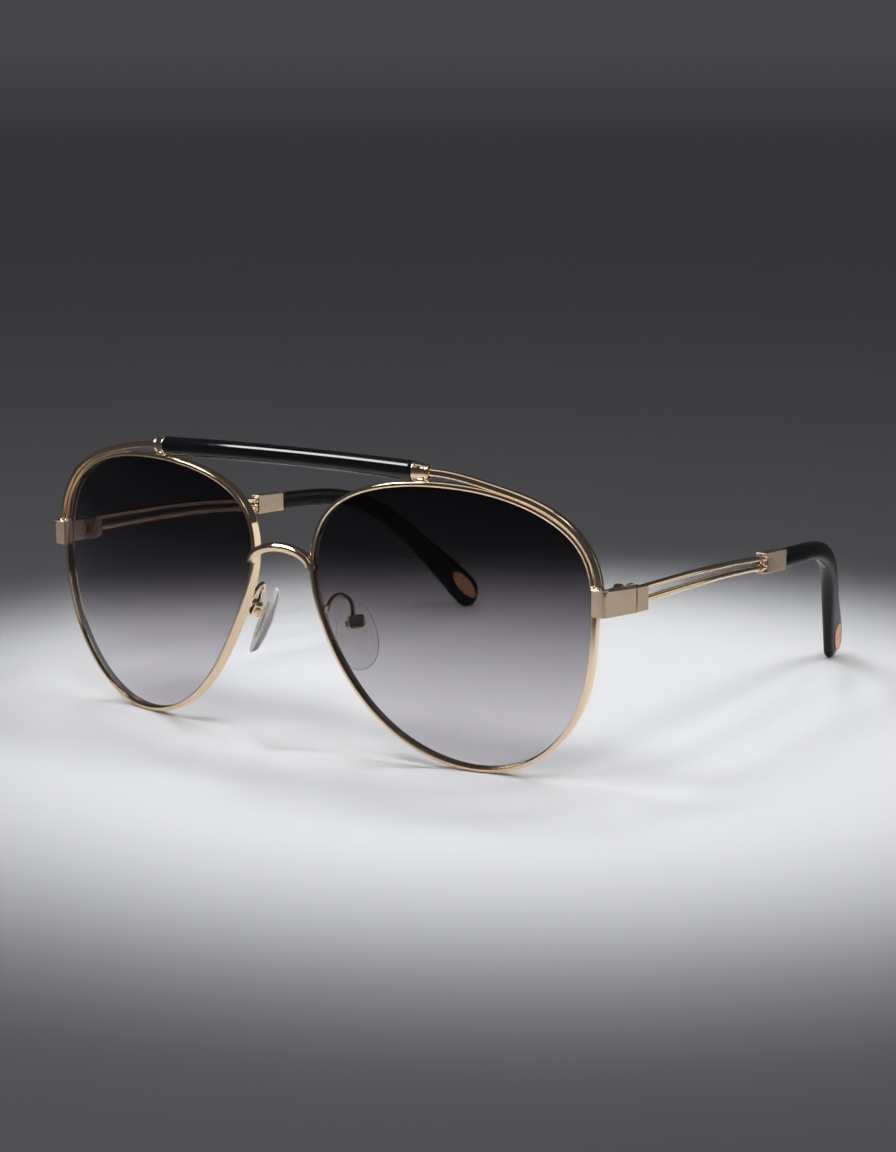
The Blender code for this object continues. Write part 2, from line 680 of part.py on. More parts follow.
def make_pad_arm(front, name, side):
    end = pad_spot(-0.45, 2.6, BOX_UP[1] + 3 * SEAT)
    knots = [ARM_ROOT, *(np.array(ARM_ROOT) + ARM_BENDS), end]
    front.add(f"pad_arm_{name}", rod(even(spline(knots), 17), ARM_RADIUS, 6), side, "polished_gold")


def make_pad_box(front, name, side):
    w = BOX_HALF_WIDTH
    outer = box((-w, w), BOX_OUT, BOX_UP)
    inner = w - BOX_WALL
    hollow = box((-inner, inner), (BOX_OUT[0] - 1, BOX_OUT[1] - 0.6), (BOX_UP[0] - 1, BOX_UP[1] - 0.5))
    bore = cylinder((-3.0, PIVOT[1], PIVOT[2]), (1, 0, 0), PAD_BORE, 6.0, sides=12)
    cuts = [in_pad_frame(hollow), in_pad_frame(bore)]
    front.add(f"pad_box_{name}", in_pad_frame(outer), side, "satin_gold", cuts=cuts)
    w += SEAT
    profile = [(0, -w - 0.45), (0.6, -w - 0.45), (0.75, -w - 0.3), (0.75, -w), (PAD_SCREW_RADIUS, -w)]
    profile += [(PAD_SCREW_RADIUS, w + 0.1), (0, w + 0.1)]
    screw = turned(profile, (0.0, PIVOT[1], PIVOT[2]), (1, 0, 0), sides=12)
    front.add(f"pad_screw_{name}", in_pad_frame(screw), side, "screw_gold")


def make_pad_insert(pad, name, side):
    low = PAD_FACE + SEAT
    high = low + INSERT_THICKNESS
    angles = 2 * math.pi * np.arange(16) / 16
    x, z = INSERT_HALF[0] * np.cos(angles), INSERT_HALF[1] * np.sin(angles)
    plate = skin([np.column_stack([x, np.full(16, y), z]) for y in (low, high)])
    lug = box((-LUG_HALF[0], LUG_HALF[0]), (high - 0.1, LUG_TOP), (PIVOT[2] - LUG_HALF[1], PIVOT[2] + LUG_HALF[1]))
    bore = cylinder((-3.0, PIVOT[1], PIVOT[2]), (1, 0, 0), PAD_BORE, 6.0, sides=12)
    shape = in_pad_frame(plate)
    pad.add(f"pad_insert_{name}", shape, side, "amber_plastic", joins=[in_pad_frame(lug)], cuts=[in_pad_frame(bore)])


def make_nose_pad(pad, name, side):
    """A soft drop, widest below its middle, flat where the insert lies and domed towards the nose."""
    angles = 2 * math.pi * np.arange(20) / 20
    x = PAD_WIDTH / 2 * np.cos(angles) * (1 - 0.16 * np.sin(angles))
    z = PAD_LENGTH / 2 * np.sin(angles)
    rings = []
    for scale, y in ((0.72, PAD_FACE), (0.94, PAD_FACE), (1.0, PAD_FACE - 0.4), (0.93, PAD_FACE - 1.0),
                     (0.7, PAD_FACE - 1.5), (0.35, PAD_FACE - PAD_THICKNESS)):
        rings.append(np.column_stack([x * scale, np.full(20, y), z * scale]))
    pad.add(f"nose_pad_{name}", in_pad_frame(skin(rings)), side, "clear_silicone")


def main():
    clear_scene()
    front = Body("front", (0.0, 0.0, 0.0))
    front.empty.location = (0.0, -FOOTPRINT_MIDDLE_Y * MM, 0.0)
    make_brow_bar(front)
    make_bridge(front)
    for name, side in SIDES.items():
        make_rim(front, name, side)
        make_lens(front, name, side)
        make_collar(front, name, side)
        make_brow_wire(front, name, side)
        make_end_piece(front, name, side)
        make_lock_screw(front, name, side)
        make_front_hinge(front, name, side)
        make_hinge_screw(front, name, side)
        make_pad_arm(front, name, side)
        make_pad_box(front, name, side)
        temple = Body(f"temple_{name}_axis", (side * HINGE_AXIS[0], HINGE_AXIS[1], KNUCKLE_HEIGHTS[1]), front)
        make_temple_block(temple, name, side)
        make_temple_hinge(temple, name, side)
        make_temple_wires(temple, name, side)
        make_ferrule(temple, name, side)
        make_tip(temple, name, side)
        pad = Body(f"pad_{name}_axis", pad_spot(*PIVOT) * (side, 1, 1), front)
        make_pad_insert(pad, name, side)
        make_nose_pad(pad, name, side)


main()
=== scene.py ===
"""Looks of the aviator sunglasses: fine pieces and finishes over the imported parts, and a plain studio.

Lengths are in millimetres in the parts' own design frame: X across the face (+X is the wearer's left),
Y from the lenses back along the temples, Z up from the table. The frame's origin is the middle of
the footprint, FOOTPRINT_MIDDLE_Y behind the lenses. Each piece takes the place of the part it is
named after, and rides on the same body.
"""

import math

import bmesh
import bpy
import numpy as np
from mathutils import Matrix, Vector


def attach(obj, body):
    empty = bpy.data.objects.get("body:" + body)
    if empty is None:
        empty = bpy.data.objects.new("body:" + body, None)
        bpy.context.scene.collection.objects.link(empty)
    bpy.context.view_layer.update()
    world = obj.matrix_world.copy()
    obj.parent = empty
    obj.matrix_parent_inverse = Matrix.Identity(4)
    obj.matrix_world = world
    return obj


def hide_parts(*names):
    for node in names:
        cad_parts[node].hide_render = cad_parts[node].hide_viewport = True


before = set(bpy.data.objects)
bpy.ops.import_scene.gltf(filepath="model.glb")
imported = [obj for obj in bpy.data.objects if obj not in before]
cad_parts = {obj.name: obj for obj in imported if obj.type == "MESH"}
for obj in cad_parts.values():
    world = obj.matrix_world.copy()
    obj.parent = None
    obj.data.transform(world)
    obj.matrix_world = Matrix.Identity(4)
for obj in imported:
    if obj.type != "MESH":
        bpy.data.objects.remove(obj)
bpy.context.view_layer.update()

MM = 0.001
SIDES = {"left": 1, "right": -1}
FOOTPRINT_MIDDLE_Y = 69.52
UP = (0, 0, 1)
# Edges that turn by more than this stay sharp
SHARP_ANGLE = math.radians(35)

# Lens and rim
LENS_CENTRE_X = 38.0
LENS_OUTLINE = [
    (27.6, 0.0), (25.3, 14.6), (13.2, 22.8), (0.0, 24.9), (-13.7, 23.9), (-28.0, 16.3), (-30.2, 8.1),
    (-28.4, 0.0), (-21.9, -12.6), (-12.9, -22.2), (0.0, -27.7), (7.5, -27.8), (14.7, -25.3), (24.6, -14.2),
]
LENS_BASE_RADIUS = 83.0
FACE_WRAP = math.radians(8.7)
LENS_TILT = math.radians(2.2)
LENS_THICKNESS = 1.4
LENS_SET_BACK = 0.35
LENS_EDGE_GAP = 0.1
LENS_BEVEL = 0.2
# Height over the lens, in shares, and how much light the whole lens lets through there
LENS_TONES = [
    (0.0, 0.74), (0.17, 0.68), (0.31, 0.52), (0.45, 0.33),
    (0.58, 0.165), (0.72, 0.085), (0.87, 0.04), (1.0, 0.03),
]
RIM_WALL = 0.95
RIM_DEPTH = 2.1
LENS_GROOVE = (0.35, 0.6)
# The rim's face from the lens outwards, as (out from the lens, back from the front)
RIM_FACE = [(0, 0.08), (0.3, 0), (RIM_WALL - 0.22, 0.14), (RIM_WALL, 0.34)]
RIM_BACK_ROUNDING = [0.25, 0.1]
# How much the edges of the rim's and the brow wire's face are rounded
FACE_ROUNDING = [0.03, 0.03, 0.04, 0.06]

# How far a piece runs into its neighbour where the two are soldered
BITE = 0.3

# Brow bar, collars and brow wires
BAR_HALF = 30.4
BAR_CENTRE = (2.2, 57.2)
BAR_END = (2.75, 56.7)
BAR_HEIGHT = 3.7
BAR_DEPTH = 3.0
BAR_POWER = 2.3
BAR_END_GAP = 0.02
# The bar narrows by a small share over a short way at its ends
BAR_EASE = 0.35
BAR_EASE_SHARE = 0.05
BAR_SLANT = math.tan(math.radians(16.0))
BAR_SLANT_REACH = 3.0
COLLAR_LENGTH = 3.5
COLLAR_TURN = math.tan(math.radians(9.0))
# The collar's outside from the bar to its foot, and the hollow in the foot,
# as (out from the bar's radius, along the collar)
COLLAR_LIP = [(-0.1, 0), (0.02, 0.06), (0.08, 0.2), (0.09, 0.38), (0.05, 0.56)]
COLLAR_BODY = [(-0.02, 0.66), (-0.06, 0.74), (-0.06, 0.84), (-0.1, 1.1), (-0.23, 2.0), (-0.36, 2.9)]
COLLAR_FOOT = [(-0.3, 3.0), (-0.24, 3.16), (-0.27, 3.36), (-0.38, COLLAR_LENGTH), (-0.48, COLLAR_LENGTH)]
COLLAR_HOLLOW = [(-0.52, 3.42), (-0.58, 3.2), (-0.62, 2.7)]
COLLAR_HOLLOW_FLOOR = 2.6
# The seat between collar and rim: its reach from the collar's start in X and in Y, and its heights
COLLAR_SEAT = ((0.6, 3.1), (-0.6, 0.9), (54.75, 55.4))
COLLAR_SEAT_BEVEL = 0.2
WIRE_THICKNESS = 1.25
WIRE_DEPTH = 1.8
WIRE_OFFSET = 1.75
WIRE_FORWARD = 0.5
# The wire's face from its lower to its upper edge, as (across from the middle, back from the front)
WIRE_FACE = [
    (-WIRE_THICKNESS / 2, 0.08), (-WIRE_THICKNESS / 2 + 0.3, 0),
    (WIRE_THICKNESS / 2 - 0.24, 0.2), (WIRE_THICKNESS / 2, 0.42),
]
# How deep the wire sits in the collar, its straight lead, and how far from the lens's middle it meets the rim
WIRE_SEAT = 0.8
WIRE_LEAD = 2.3
WIRE_MEETS_RIM = 8.0
WIRE_ENDS_ABOVE_BLOCK = 0.3

# Bridge
BRIDGE_HALF = 7.6
BRIDGE_FOOT_Z = 35.8
BRIDGE_RISE = 3.7
BRIDGE_Y = 0.9
BRIDGE_HEIGHT = 1.7
BRIDGE_DEPTH = 1.9
# The bridge's face from its top down, as (back from the front, down from the top)
BRIDGE_FACE = [(0.75, 0), (0.27, 0.23), (0.09, 0.55), (0, 0.95)]
BRIDGE_FACE_ROUNDING = [0.25, 0.1, 0.12, 0.06]
BRIDGE_LOWER_BEVEL = 0.22
BRIDGE_BACK_ROUNDING = [0.12, 0.5, 0.6]
# What is cut out of the bridge where it laps the rim, across the rim's wall and from its front
RIM_CUT_ACROSS = (-3.0, RIM_WALL - 0.1)
RIM_CUT_BACK = (-0.02, RIM_DEPTH + 2)

# End pieces, temple blocks and hinges
BLOCK_FRONT = 8.3
BLOCK_TOP = 37.15
BLOCK_BOTTOM = 32.3
BLOCK_INNER = 66.0
BLOCK_OUTER = 68.8
SEAM = 17.1
SEAM_GAP = 0.32
SEAM_INNER = 67.65
SEAM_OUTER = 70.3
BLOCK_FALL = 0.04
BLOCK_RISE = 0.01
BLOCK_BACK = 20.9
BLOCK_BEVEL = 0.09
END_PIECE_OUTLINE = [
    (BLOCK_INNER, BLOCK_FRONT), (BLOCK_OUTER - 0.9, BLOCK_FRONT), (BLOCK_OUTER - 0.25, BLOCK_FRONT + 0.2),
    (BLOCK_OUTER + 0.05, BLOCK_FRONT + 0.9), (SEAM_OUTER, SEAM - SEAM_GAP / 2),
    (SEAM_INNER, SEAM - SEAM_GAP / 2), (BLOCK_INNER + 1.35, 11.4), (BLOCK_INNER, 11.0),
]
TEMPLE_BLOCK_OUTLINE = [
    (SEAM_INNER, SEAM + SEAM_GAP / 2), (SEAM_OUTER, SEAM + SEAM_GAP / 2),
    (SEAM_OUTER + 0.2, BLOCK_BACK), (SEAM_INNER + 0.15, BLOCK_BACK),
]
# The small V cut in the end piece's top front corner
NOTCH_PLACE = np.array([BLOCK_OUTER - 0.1, BLOCK_FRONT + 0.35, BLOCK_TOP])
NOTCH_OUT = np.array([0.75, -0.66, 0.0])
NOTCH_HALF_WIDTH = 0.75
NOTCH_HEIGHTS = (-0.95, 0.3)
NOTCH_REACH = (-0.8, 1.5)
LOCK_SCREW_PLACE = np.array([BLOCK_INNER + 1.45, BLOCK_FRONT + 1.6, BLOCK_BOTTOM])
LOCK_SCREW_SINK = 0.1
LOCK_SCREW_PROFILE = [(0, 0), (0.36, 0), (0.43, 0.08), (0.43, 1.2), (0, 1.2)]
LOCK_BORE_RADIUS = 0.53
LOCK_BORE_DEPTH = 0.8
# The solder on the end piece: a ledge, and a bead at the rim's end and at the wire's, as (offset, size)
LEDGE = (
    (BLOCK_INNER - 0.1, BLOCK_OUTER + 0.1),
    (BLOCK_FRONT - 0.06, BLOCK_FRONT + 1.5),
    (BLOCK_TOP, BLOCK_TOP + 0.28),
)
LEDGE_BEVEL = 0.12
RIM_BEAD = ((0.5, 0.5, 0.42), (0.85, 0.7, 0.36))
WIRE_BEAD = ((-0.1, -0.5, 0.4), (0.62, 0.6, 0.42))
HINGE_AXIS = (66.4, SEAM)
KNUCKLE_RADIUS = 1.15
KNUCKLE_HEIGHTS = (32.5, 33.85, 35.45, 36.8)
KNUCKLE_REACH = 2.4
KNUCKLE_LEAF = (0.2, 0.85)
HINGE_GAP = 0.05
HINGE_BEVEL = 0.1
# Each leaf's reach outwards from the hinge's axis, and along the temple
FRONT_LEAF = ((0.12, 0.87), (11.8, SEAM - 1.5))
TEMPLE_LEAF = ((0.45, 1.2), (SEAM + 1.5, BLOCK_BACK - 0.3))
SCREW_RADIUS = 0.5
SCREW_CHAMFER = 0.08
# The hinge screw's head, as (radius, height over its seat)
SCREW_HEAD = [(0.8, 0), (0.85, 0.04), (0.85, 0.12), (0.76, 0.2), (0.5, 0.24), (0, 0.25)]
# Length, width and depth of the slot in a screw's head
SLOT = (3.0, 0.16, 0.22)

# Temples
TEMPLE_WIRE_RADIUS = 0.65
UPPER_WIRE = [(69.15, 21.0, 36.15), (68.8, 38.0, 35.95), (68.2, 55.0, 35.3), (66.6, 71.4, 33.9)]
LOWER_WIRE = [(69.15, 21.0, 33.8), (68.8, 38.0, 33.75), (68.2, 55.0, 33.35), (66.6, 71.4, 32.1)]
FERRULE = ((65.3, 67.8), (71.5, 80.4))
FERRULE_TAPER = 0.05
FERRULE_FRONT_Z = (30.75, 35.1)
FERRULE_BACK_Z = (30.45, 34.7)
FERRULE_BEVEL = 0.2
FERRULE_POCKET = (
    (FERRULE[0][0] + 0.3, FERRULE[0][1] + 0.6), (FERRULE[1][0] - 1, FERRULE[1][0] + 0.95),
    (FERRULE_FRONT_Z[0] + 0.55, FERRULE_FRONT_Z[1] - 0.75),
)
POCKET_BEVEL = 0.3
# The socket round each wire's end, as (out from the wire's side, back from the front)
SOCKET = [(0.12, 0), (0.24, 0.1), (0.26, 0.3), (0.2, 0.5), (0.3, 0.7), (0.34, 1.0)]
SOCKET_SHOWS = 0.05
TIP_PATH = [
    (66.55, 80.6, 32.6), (65.9, 91.0, 32.2), (64.1, 102.0, 30.8), (61.0, 112.9, 26.1),
    (56.3, 124.2, 16.0), (53.6, 130.9, 9.2), (50.6, 138.3, 1.1),
]
# Share of the tip's length, and the thickness and height there
TIP_SIZES = [
    (0.0, 2.4, 4.0), (0.25, 2.7, 4.0), (0.47, 3.1, 4.2), (0.7, 3.1, 5.2), (0.84, 2.8, 7.1),
    (0.94, 2.6, 8.0), (1.0, 2.5, 8.0),
]
TIP_POWER = 3.0
TIP_END_THICKNESS = 0.45
TIP_END_TURN = math.radians(87)
TIP_END_RINGS = 24
TIP_EASE = 0.4
TIP_EASE_SHARE = 0.06
MEDALLION = (4.8, 2.0)
MEDALLION_FROM_END = 6.2
MEDALLION_HALF_THICKNESS = 1.52
# The medallion's face from the middle out, as (share of its width, depth under its rim)
MEDALLION_FACE = [
    (0.02, 0.02), (0.4, 0.03), (0.75, 0.07), (0.86, 0.1), (0.89, 0.02), (0.93, 0), (0.98, 0.02), (1.0, 0.1),
]

# Nose pads, in their own frame: across the pad, out towards the rim, up along the pad
PAD_CENTRE = (11.6, 9.6, 22.2)
PAD_SPLAY = math.radians(46.5)
PAD_LEAN = math.radians(21.7)
PAD_ROLL = math.radians(6.0)
PAD_LENGTH = 14.2
PAD_WIDTH = 8.0
PAD_THICKNESS = 1.8
PAD_FACE = 0.6
PAD_DROP = 0.16
# The pad from the middle of its face round to the middle of its back, as (share of its width, depth)
PAD_SECTION = [
    (0.01, 0), (0.8, 0), (0.95, 0.06), (1.0, 0.4),
    (0.96, 0.85), (0.82, 1.3), (0.5, 1.65), (0.01, PAD_THICKNESS),
]
INSERT_HALF = (2.0, 4.0)
INSERT_THICKNESS = 0.4
INSERT_GAP = 0.02
INSERT_CHAMFER = 0.08
RING_RADIUS = 0.85
RING_DROP = 1.0
RING_THICKNESS = 0.22
PIVOT = (0.0, 2.35, 1.7)
LUG_HALF = (0.62, 0.75)
LUG_TOP = 2.9
LUG_SINK = 0.1
LUG_BEVEL = 0.12
BOX_HALF_WIDTH = 1.75
BOX_WALL = 0.95
BOX_LID = 0.6
BOX_ROOF = 0.5
BOX_OUT = (1.4, 3.9)
BOX_UP = (0.3, 3.35)
BOX_BEVEL = 0.75
PAD_SCREW_RADIUS = 0.35
PAD_SCREW_GAP = 0.02
# The pad screw's head and tail, as (radius, out from the box's side)
PAD_SCREW_HEAD = [(0, 0.45), (0.55, 0.45), (0.72, 0.36), (0.76, 0.2), (0.76, 0)]
PAD_SCREW_TAIL = [(0.28, 0.2), (0, 0.2)]
PAD_SCREW_TAIL_START = 0.12
ARM_RADIUS = 0.5
ARM_ROOT = (9.7, 2.85, 27.6)
# The bends of the arm, from its root: away from the nose, back, and up; and its end in the pad's frame
ARM_BENDS = [(-0.35, 1.0, 1.2), (-0.3, 2.3, 2.2), (0.15, 4.0, 2.6), (0.85, 5.2, 1.9), (1.6, 5.7, 0.6)]
ARM_END = (-0.45, 2.6, BOX_UP[1] - 0.2)
# The arm's plate on the rim, from its root
ARM_PLATE = ((-0.4, 0.25), (-1.1, 0.3), (-1.3, 1.3))
ARM_PLATE_BEVEL = 0.2

# Studio, in metres and watts
FLOOR_REACH = 40.0
POOL = Vector((0.02, -0.022, 0.0))
POOL_WIDTH = 0.28
LAMP_COUNT = 8
LAMP_DISTANCE = 0.5
LAMP_TILT = math.radians(33.0)
LAMP_SPREAD = math.radians(15.0)
LAMP_POWER = 0.0222
FILL_PLACE = (0.0, -0.25, 0.8)
FILL_AIM = (0.0, -0.25, 0.0)
FILL_SIZE = (0.5, 0.5)
FILL_POWER = 0.4
# Place, the point it faces, size and power of each card that only shows in reflections
CARDS = {
    "bar_card": ((-0.385, -0.46, 0.414), (-0.385, -0.07, 0.05), (0.26, 0.25), 3.1),
    "edge_card": ((-0.05, -0.26, 0.52), (-0.05, -0.067, 0.05), (0.62, 0.14), 0.17),
    "shoulder_card": ((0.26, -0.47, 0.49), (0.04, -0.07, 0.05), (0.4, 0.2), 0.35),
    "side_card": ((0.56, 0.33, 0.1), (0.07, -0.06, 0.03), (0.6, 0.45), 0.7),
}
# Height above the horizon, as a share of the way to overhead, and the colour there
BACKDROP = [
    (0.0, (0.0356, 0.0356, 0.041, 1.0)),
    (0.04, (0.062, 0.060, 0.068, 1.0)),
    (0.25, (0.045, 0.044, 0.049, 1.0)),
]

# Camera, placed in the design frame
CAMERA_AZIMUTH = math.radians(35.68)
CAMERA_ELEVATION = math.radians(10.61)
CAMERA_PLACE = (281.85, -336.33, 115.90)
FOCAL_LENGTH = 72.06


# Curves and skins


def unit(vectors):
    return vectors / np.linalg.norm(vectors, axis=-1, keepdims=True)


def spline(knots, closed=False, samples=60):
    """Closely spaced points on the smooth cubic curve through the knots."""
    knots = np.array(knots, float)
    if closed:
        knots = np.vstack([knots, knots[0]])
    spans = np.linalg.norm(np.diff(knots, axis=0), axis=1)
    last = len(knots) - 1
    matrix = np.zeros((last + 1, last + 1))
    target = np.zeros_like(knots)
    for i in range(1, last):
        before, after = spans[i - 1], spans[i]
        matrix[i, i - 1 : i + 2] = 1 / before, 2 / before + 2 / after, 1 / after
        target[i] = 3 * ((knots[i] - knots[i - 1]) / before**2 + (knots[i + 1] - knots[i]) / after**2)
    first_pull = 3 * (knots[1] - knots[0]) / spans[0] ** 2
    last_pull = 3 * (knots[last] - knots[last - 1]) / spans[-1] ** 2
    if closed:
        matrix[0, 0], matrix[0, last] = 1, -1
        matrix[last, 0] += 2 / spans[0]
        matrix[last, 1] += 1 / spans[0]
        matrix[last, last] += 2 / spans[-1]
        matrix[last, last - 1] += 1 / spans[-1]
        target[last] = first_pull + last_pull
    else:
        matrix[0, :2] = 2 / spans[0], 1 / spans[0]
        matrix[last, last - 1 :] = 1 / spans[-1], 2 / spans[-1]
        target[0], target[last] = first_pull, last_pull
    slopes = np.linalg.solve(matrix, target)
    points = []
    for i, span in enumerate(spans):
        for t in np.arange(samples) / samples:
            start = (1 + 2 * t) * (1 - t) ** 2 * knots[i] + t * (1 - t) ** 2 * span * slopes[i]
            end = t**2 * (3 - 2 * t) * knots[i + 1] + t**2 * (t - 1) * span * slopes[i + 1]
            points.append(start + end)
    points.append(knots[last])
    return np.array(points)


def even(points, count):
    """The points again, at equal steps along the line from its first point to its last."""
    lengths = np.r_[0, np.cumsum(np.linalg.norm(np.diff(points, axis=0), axis=1))]
    steps = np.linspace(0, lengths[-1], count)
    return np.column_stack([np.interp(steps, lengths, column) for column in points.T])


def tangents(path, loop=False):
    """The path's direction at each of its points."""
    if loop:
        return unit(np.roll(path, -1, axis=0) - np.roll(path, 1, axis=0))
    return unit(np.gradient(path, axis=0))


def skin(rings, loop=False):
    """Vertices and faces over rings of equal length; the ends are capped unless the rings loop."""
    rings = np.asarray(rings)
    count, around = rings.shape[:2]
    faces = []
    for i in range(count if loop else count - 1):
        j = (i + 1) % count
        for k in range(around):
            m = (k + 1) % around
            faces.append((i * around + k, i * around + m, j * around + m, j * around + k))
    if not loop:
        faces.append(tuple(range(around)))
        faces.append(tuple((count - 1) * around + k for k in range(around)))
    return rings.reshape(-1, 3), faces


def join(*shapes):
    """Several closed shapes as one."""
    vertices, faces, count = [], [], 0
    for some_vertices, some_faces in shapes:
        vertices.append(some_vertices)
        faces += [tuple(k + count for k in face) for face in some_faces]
        count += len(some_vertices)
    return np.vstack(vertices), faces


def sweep(path, profile, across, loop=False):
    """The profile's (a, b) points carried along the path: a along across, b square to it."""
    profile, across = np.asarray(profile, float), np.asarray(across, float)
    forward = tangents(path, loop)
    across = unit(across - (across * forward).sum(-1, keepdims=True) * forward)
    other = np.cross(forward, across)
    if profile.ndim == 2:
        profile = np.repeat(profile[None], len(path), axis=0)
    return skin(path[:, None] + profile[..., :1] * across[:, None] + profile[..., 1:] * other[:, None], loop)


def circle(count, start=0.0):
    """The cosines and sines of evenly spaced angles, from a start given in steps."""
    angles = 2 * math.pi * (np.arange(count) + start) / count
    return np.cos(angles), np.sin(angles)


def at(x, y, z):
    """Points from their coordinates, any of which may be one value for all."""
    return np.column_stack(np.broadcast_arrays(x, y, z))


def oval(width, height, count, power=2.0):
    """An oval outline; a power over 2 squares it off."""
    c, s = circle(count, 0.5)
    reach = (np.abs(c) ** power + np.abs(s) ** power) ** (-1 / power)
    return np.column_stack([width / 2 * reach * c, height / 2 * reach * s])


def rounded(corners, radii, steps=4):
    """A closed outline with each corner taken round by its own amount; 0 keeps it sharp."""
    corners = np.asarray(corners, float)
    radii = np.broadcast_to(radii, len(corners))
    points = []
    for before, corner, after, radius in zip(np.roll(corners, 1, 0), corners, np.roll(corners, -1, 0), radii):
        if radius == 0:
            points.append(corner)
            continue
        start = corner + unit(before - corner) * radius
        end = corner + unit(after - corner) * radius
        for t in np.linspace(0, 1, steps + 1):
            points.append((1 - t) ** 2 * start + 2 * t * (1 - t) * corner + t**2 * end)
    return np.array(points)


def rod(path, radius, sides=24):
    """A round rod along the path."""
    across = (0, 1, 0) if abs(tangents(path)[:, 0]).max() > 0.9 else (1, 0, 0)
    return sweep(np.asarray(path, float), oval(2 * radius, 2 * radius, sides), across)


def prism(outline, low, high):
    """An outline in X and Y between two heights, which may vary from point to point."""
    outline = np.asarray(outline, float)
    low = np.broadcast_to(low, len(outline))
    high = np.broadcast_to(high, len(outline))
    return skin([np.column_stack([outline, low]), np.column_stack([outline, high])])


def box(x, y, z):
    return prism([(x[0], y[0]), (x[1], y[0]), (x[1], y[1]), (x[0], y[1])], z[0], z[1])


def turned(profile, start, axis, squash=1.0, sides=48):
    """(radius, distance) points spun round the line from start along axis, from pole to pole."""
    axis = unit(np.asarray(axis, float))
    first = unit(np.cross(axis, (0.0, 1.0, 0.0) if abs(axis[1]) < 0.9 else (1.0, 0.0, 0.0)))
    second = np.cross(axis, first) * squash
    c, s = circle(sides, 0.5)
    around = np.outer(c, first) + np.outer(s, second)
    start = np.asarray(start, float)
    return skin([start + distance * axis + max(radius, 0.01) * around for radius, distance in profile])


def bead(centre, size):
    """A drop of solder: a squashed ball."""
    angles = np.linspace(0.1, math.pi - 0.1, 13)
    ball, faces = turned([(math.sin(a), -math.cos(a)) for a in angles], (0, 0, 0), (0, 0, 1), sides=24)
    return ball * size + centre, faces


# Pieces


def solid(name, shape, sign):
    """A shape given on the +X side, as an object in the frame; a sign of -1 mirrors it."""
    vertices, faces = shape
    vertices = (np.asarray(vertices) * (sign, 1, 1) - (0, FOOTPRINT_MIDDLE_Y, 0)) * MM
    data = bpy.data.meshes.new(name)
    data.from_pydata(vertices.tolist(), [], faces)
    mesh = bmesh.new()
    mesh.from_mesh(data)
    bmesh.ops.recalc_face_normals(mesh, faces=mesh.faces)
    mesh.to_mesh(data)
    mesh.free()
    obj = bpy.data.objects.new(name, data)
    bpy.context.scene.collection.objects.link(obj)
    return obj


def soften(obj, bevel):
    modifier = obj.modifiers.new("Bevel", "BEVEL")
    modifier.width = bevel * MM
    modifier.segments = 4
    modifier.limit_method = "ANGLE"
    modifier.angle_limit = math.radians(30)


def bake(obj):
    """Applies an object's modifiers to its mesh."""
    if obj.modifiers:
        bpy.context.view_layer.update()
        graph = bpy.context.evaluated_depsgraph_get()
        finished = bpy.data.meshes.new_from_object(obj.evaluated_get(graph), depsgraph=graph)
        obj.modifiers.clear()
        obj.data = finished


def solid_block(shape, bevel):
    """A shape with its edges rounded, as vertices and faces again."""
    obj = solid("block", shape, 1)
    soften(obj, bevel)
    bake(obj)
    vertices = np.array([vertex.co[:] for vertex in obj.data.vertices]) / MM + (0, FOOTPRINT_MIDDLE_Y, 0)
    faces = [tuple(face.vertices) for face in obj.data.polygons]
    bpy.data.objects.remove(obj)
    return vertices, faces


def piece(name, shape, sign, finish, body, parts=(), bevel=0.0, cuts=()):
    """A shown piece that rides on a body, with its cuts and bevel applied to its mesh."""
    obj = solid(name, shape, sign)
    helpers = []
    for number, cut in enumerate(cuts):
        helper = solid(f"{name}_cut_{number}", cut, sign)
        modifier = obj.modifiers.new("Cut", "BOOLEAN")
        modifier.operation = "DIFFERENCE"
        modifier.solver = "EXACT"
        modifier.object = helper
        helpers.append(helper)
    if bevel:
        soften(obj, bevel)
    bake(obj)
    for helper in helpers:
        bpy.data.objects.remove(helper)
    obj.data.shade_smooth()
    obj.data.set_sharp_from_angle(angle=SHARP_ANGLE)
    modifier = obj.modifiers.new("Flats", "WEIGHTED_NORMAL")
    modifier.keep_sharp = True
    bake(obj)
    material, slot = LOOKS[finish]
    obj.data.materials.clear()
    obj.data.materials.append(material)
    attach(obj, body)
    if parts:
        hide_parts(*parts)


def fine(part, side, shape, finish, body="front", **extra):
    """The fine piece that is shown in place of one side's part of the same name."""
    piece(f"fine_{part}_{side}", shape, SIDES[side], finish, body, [f"{part}_{side}"], **extra)


# Finishes


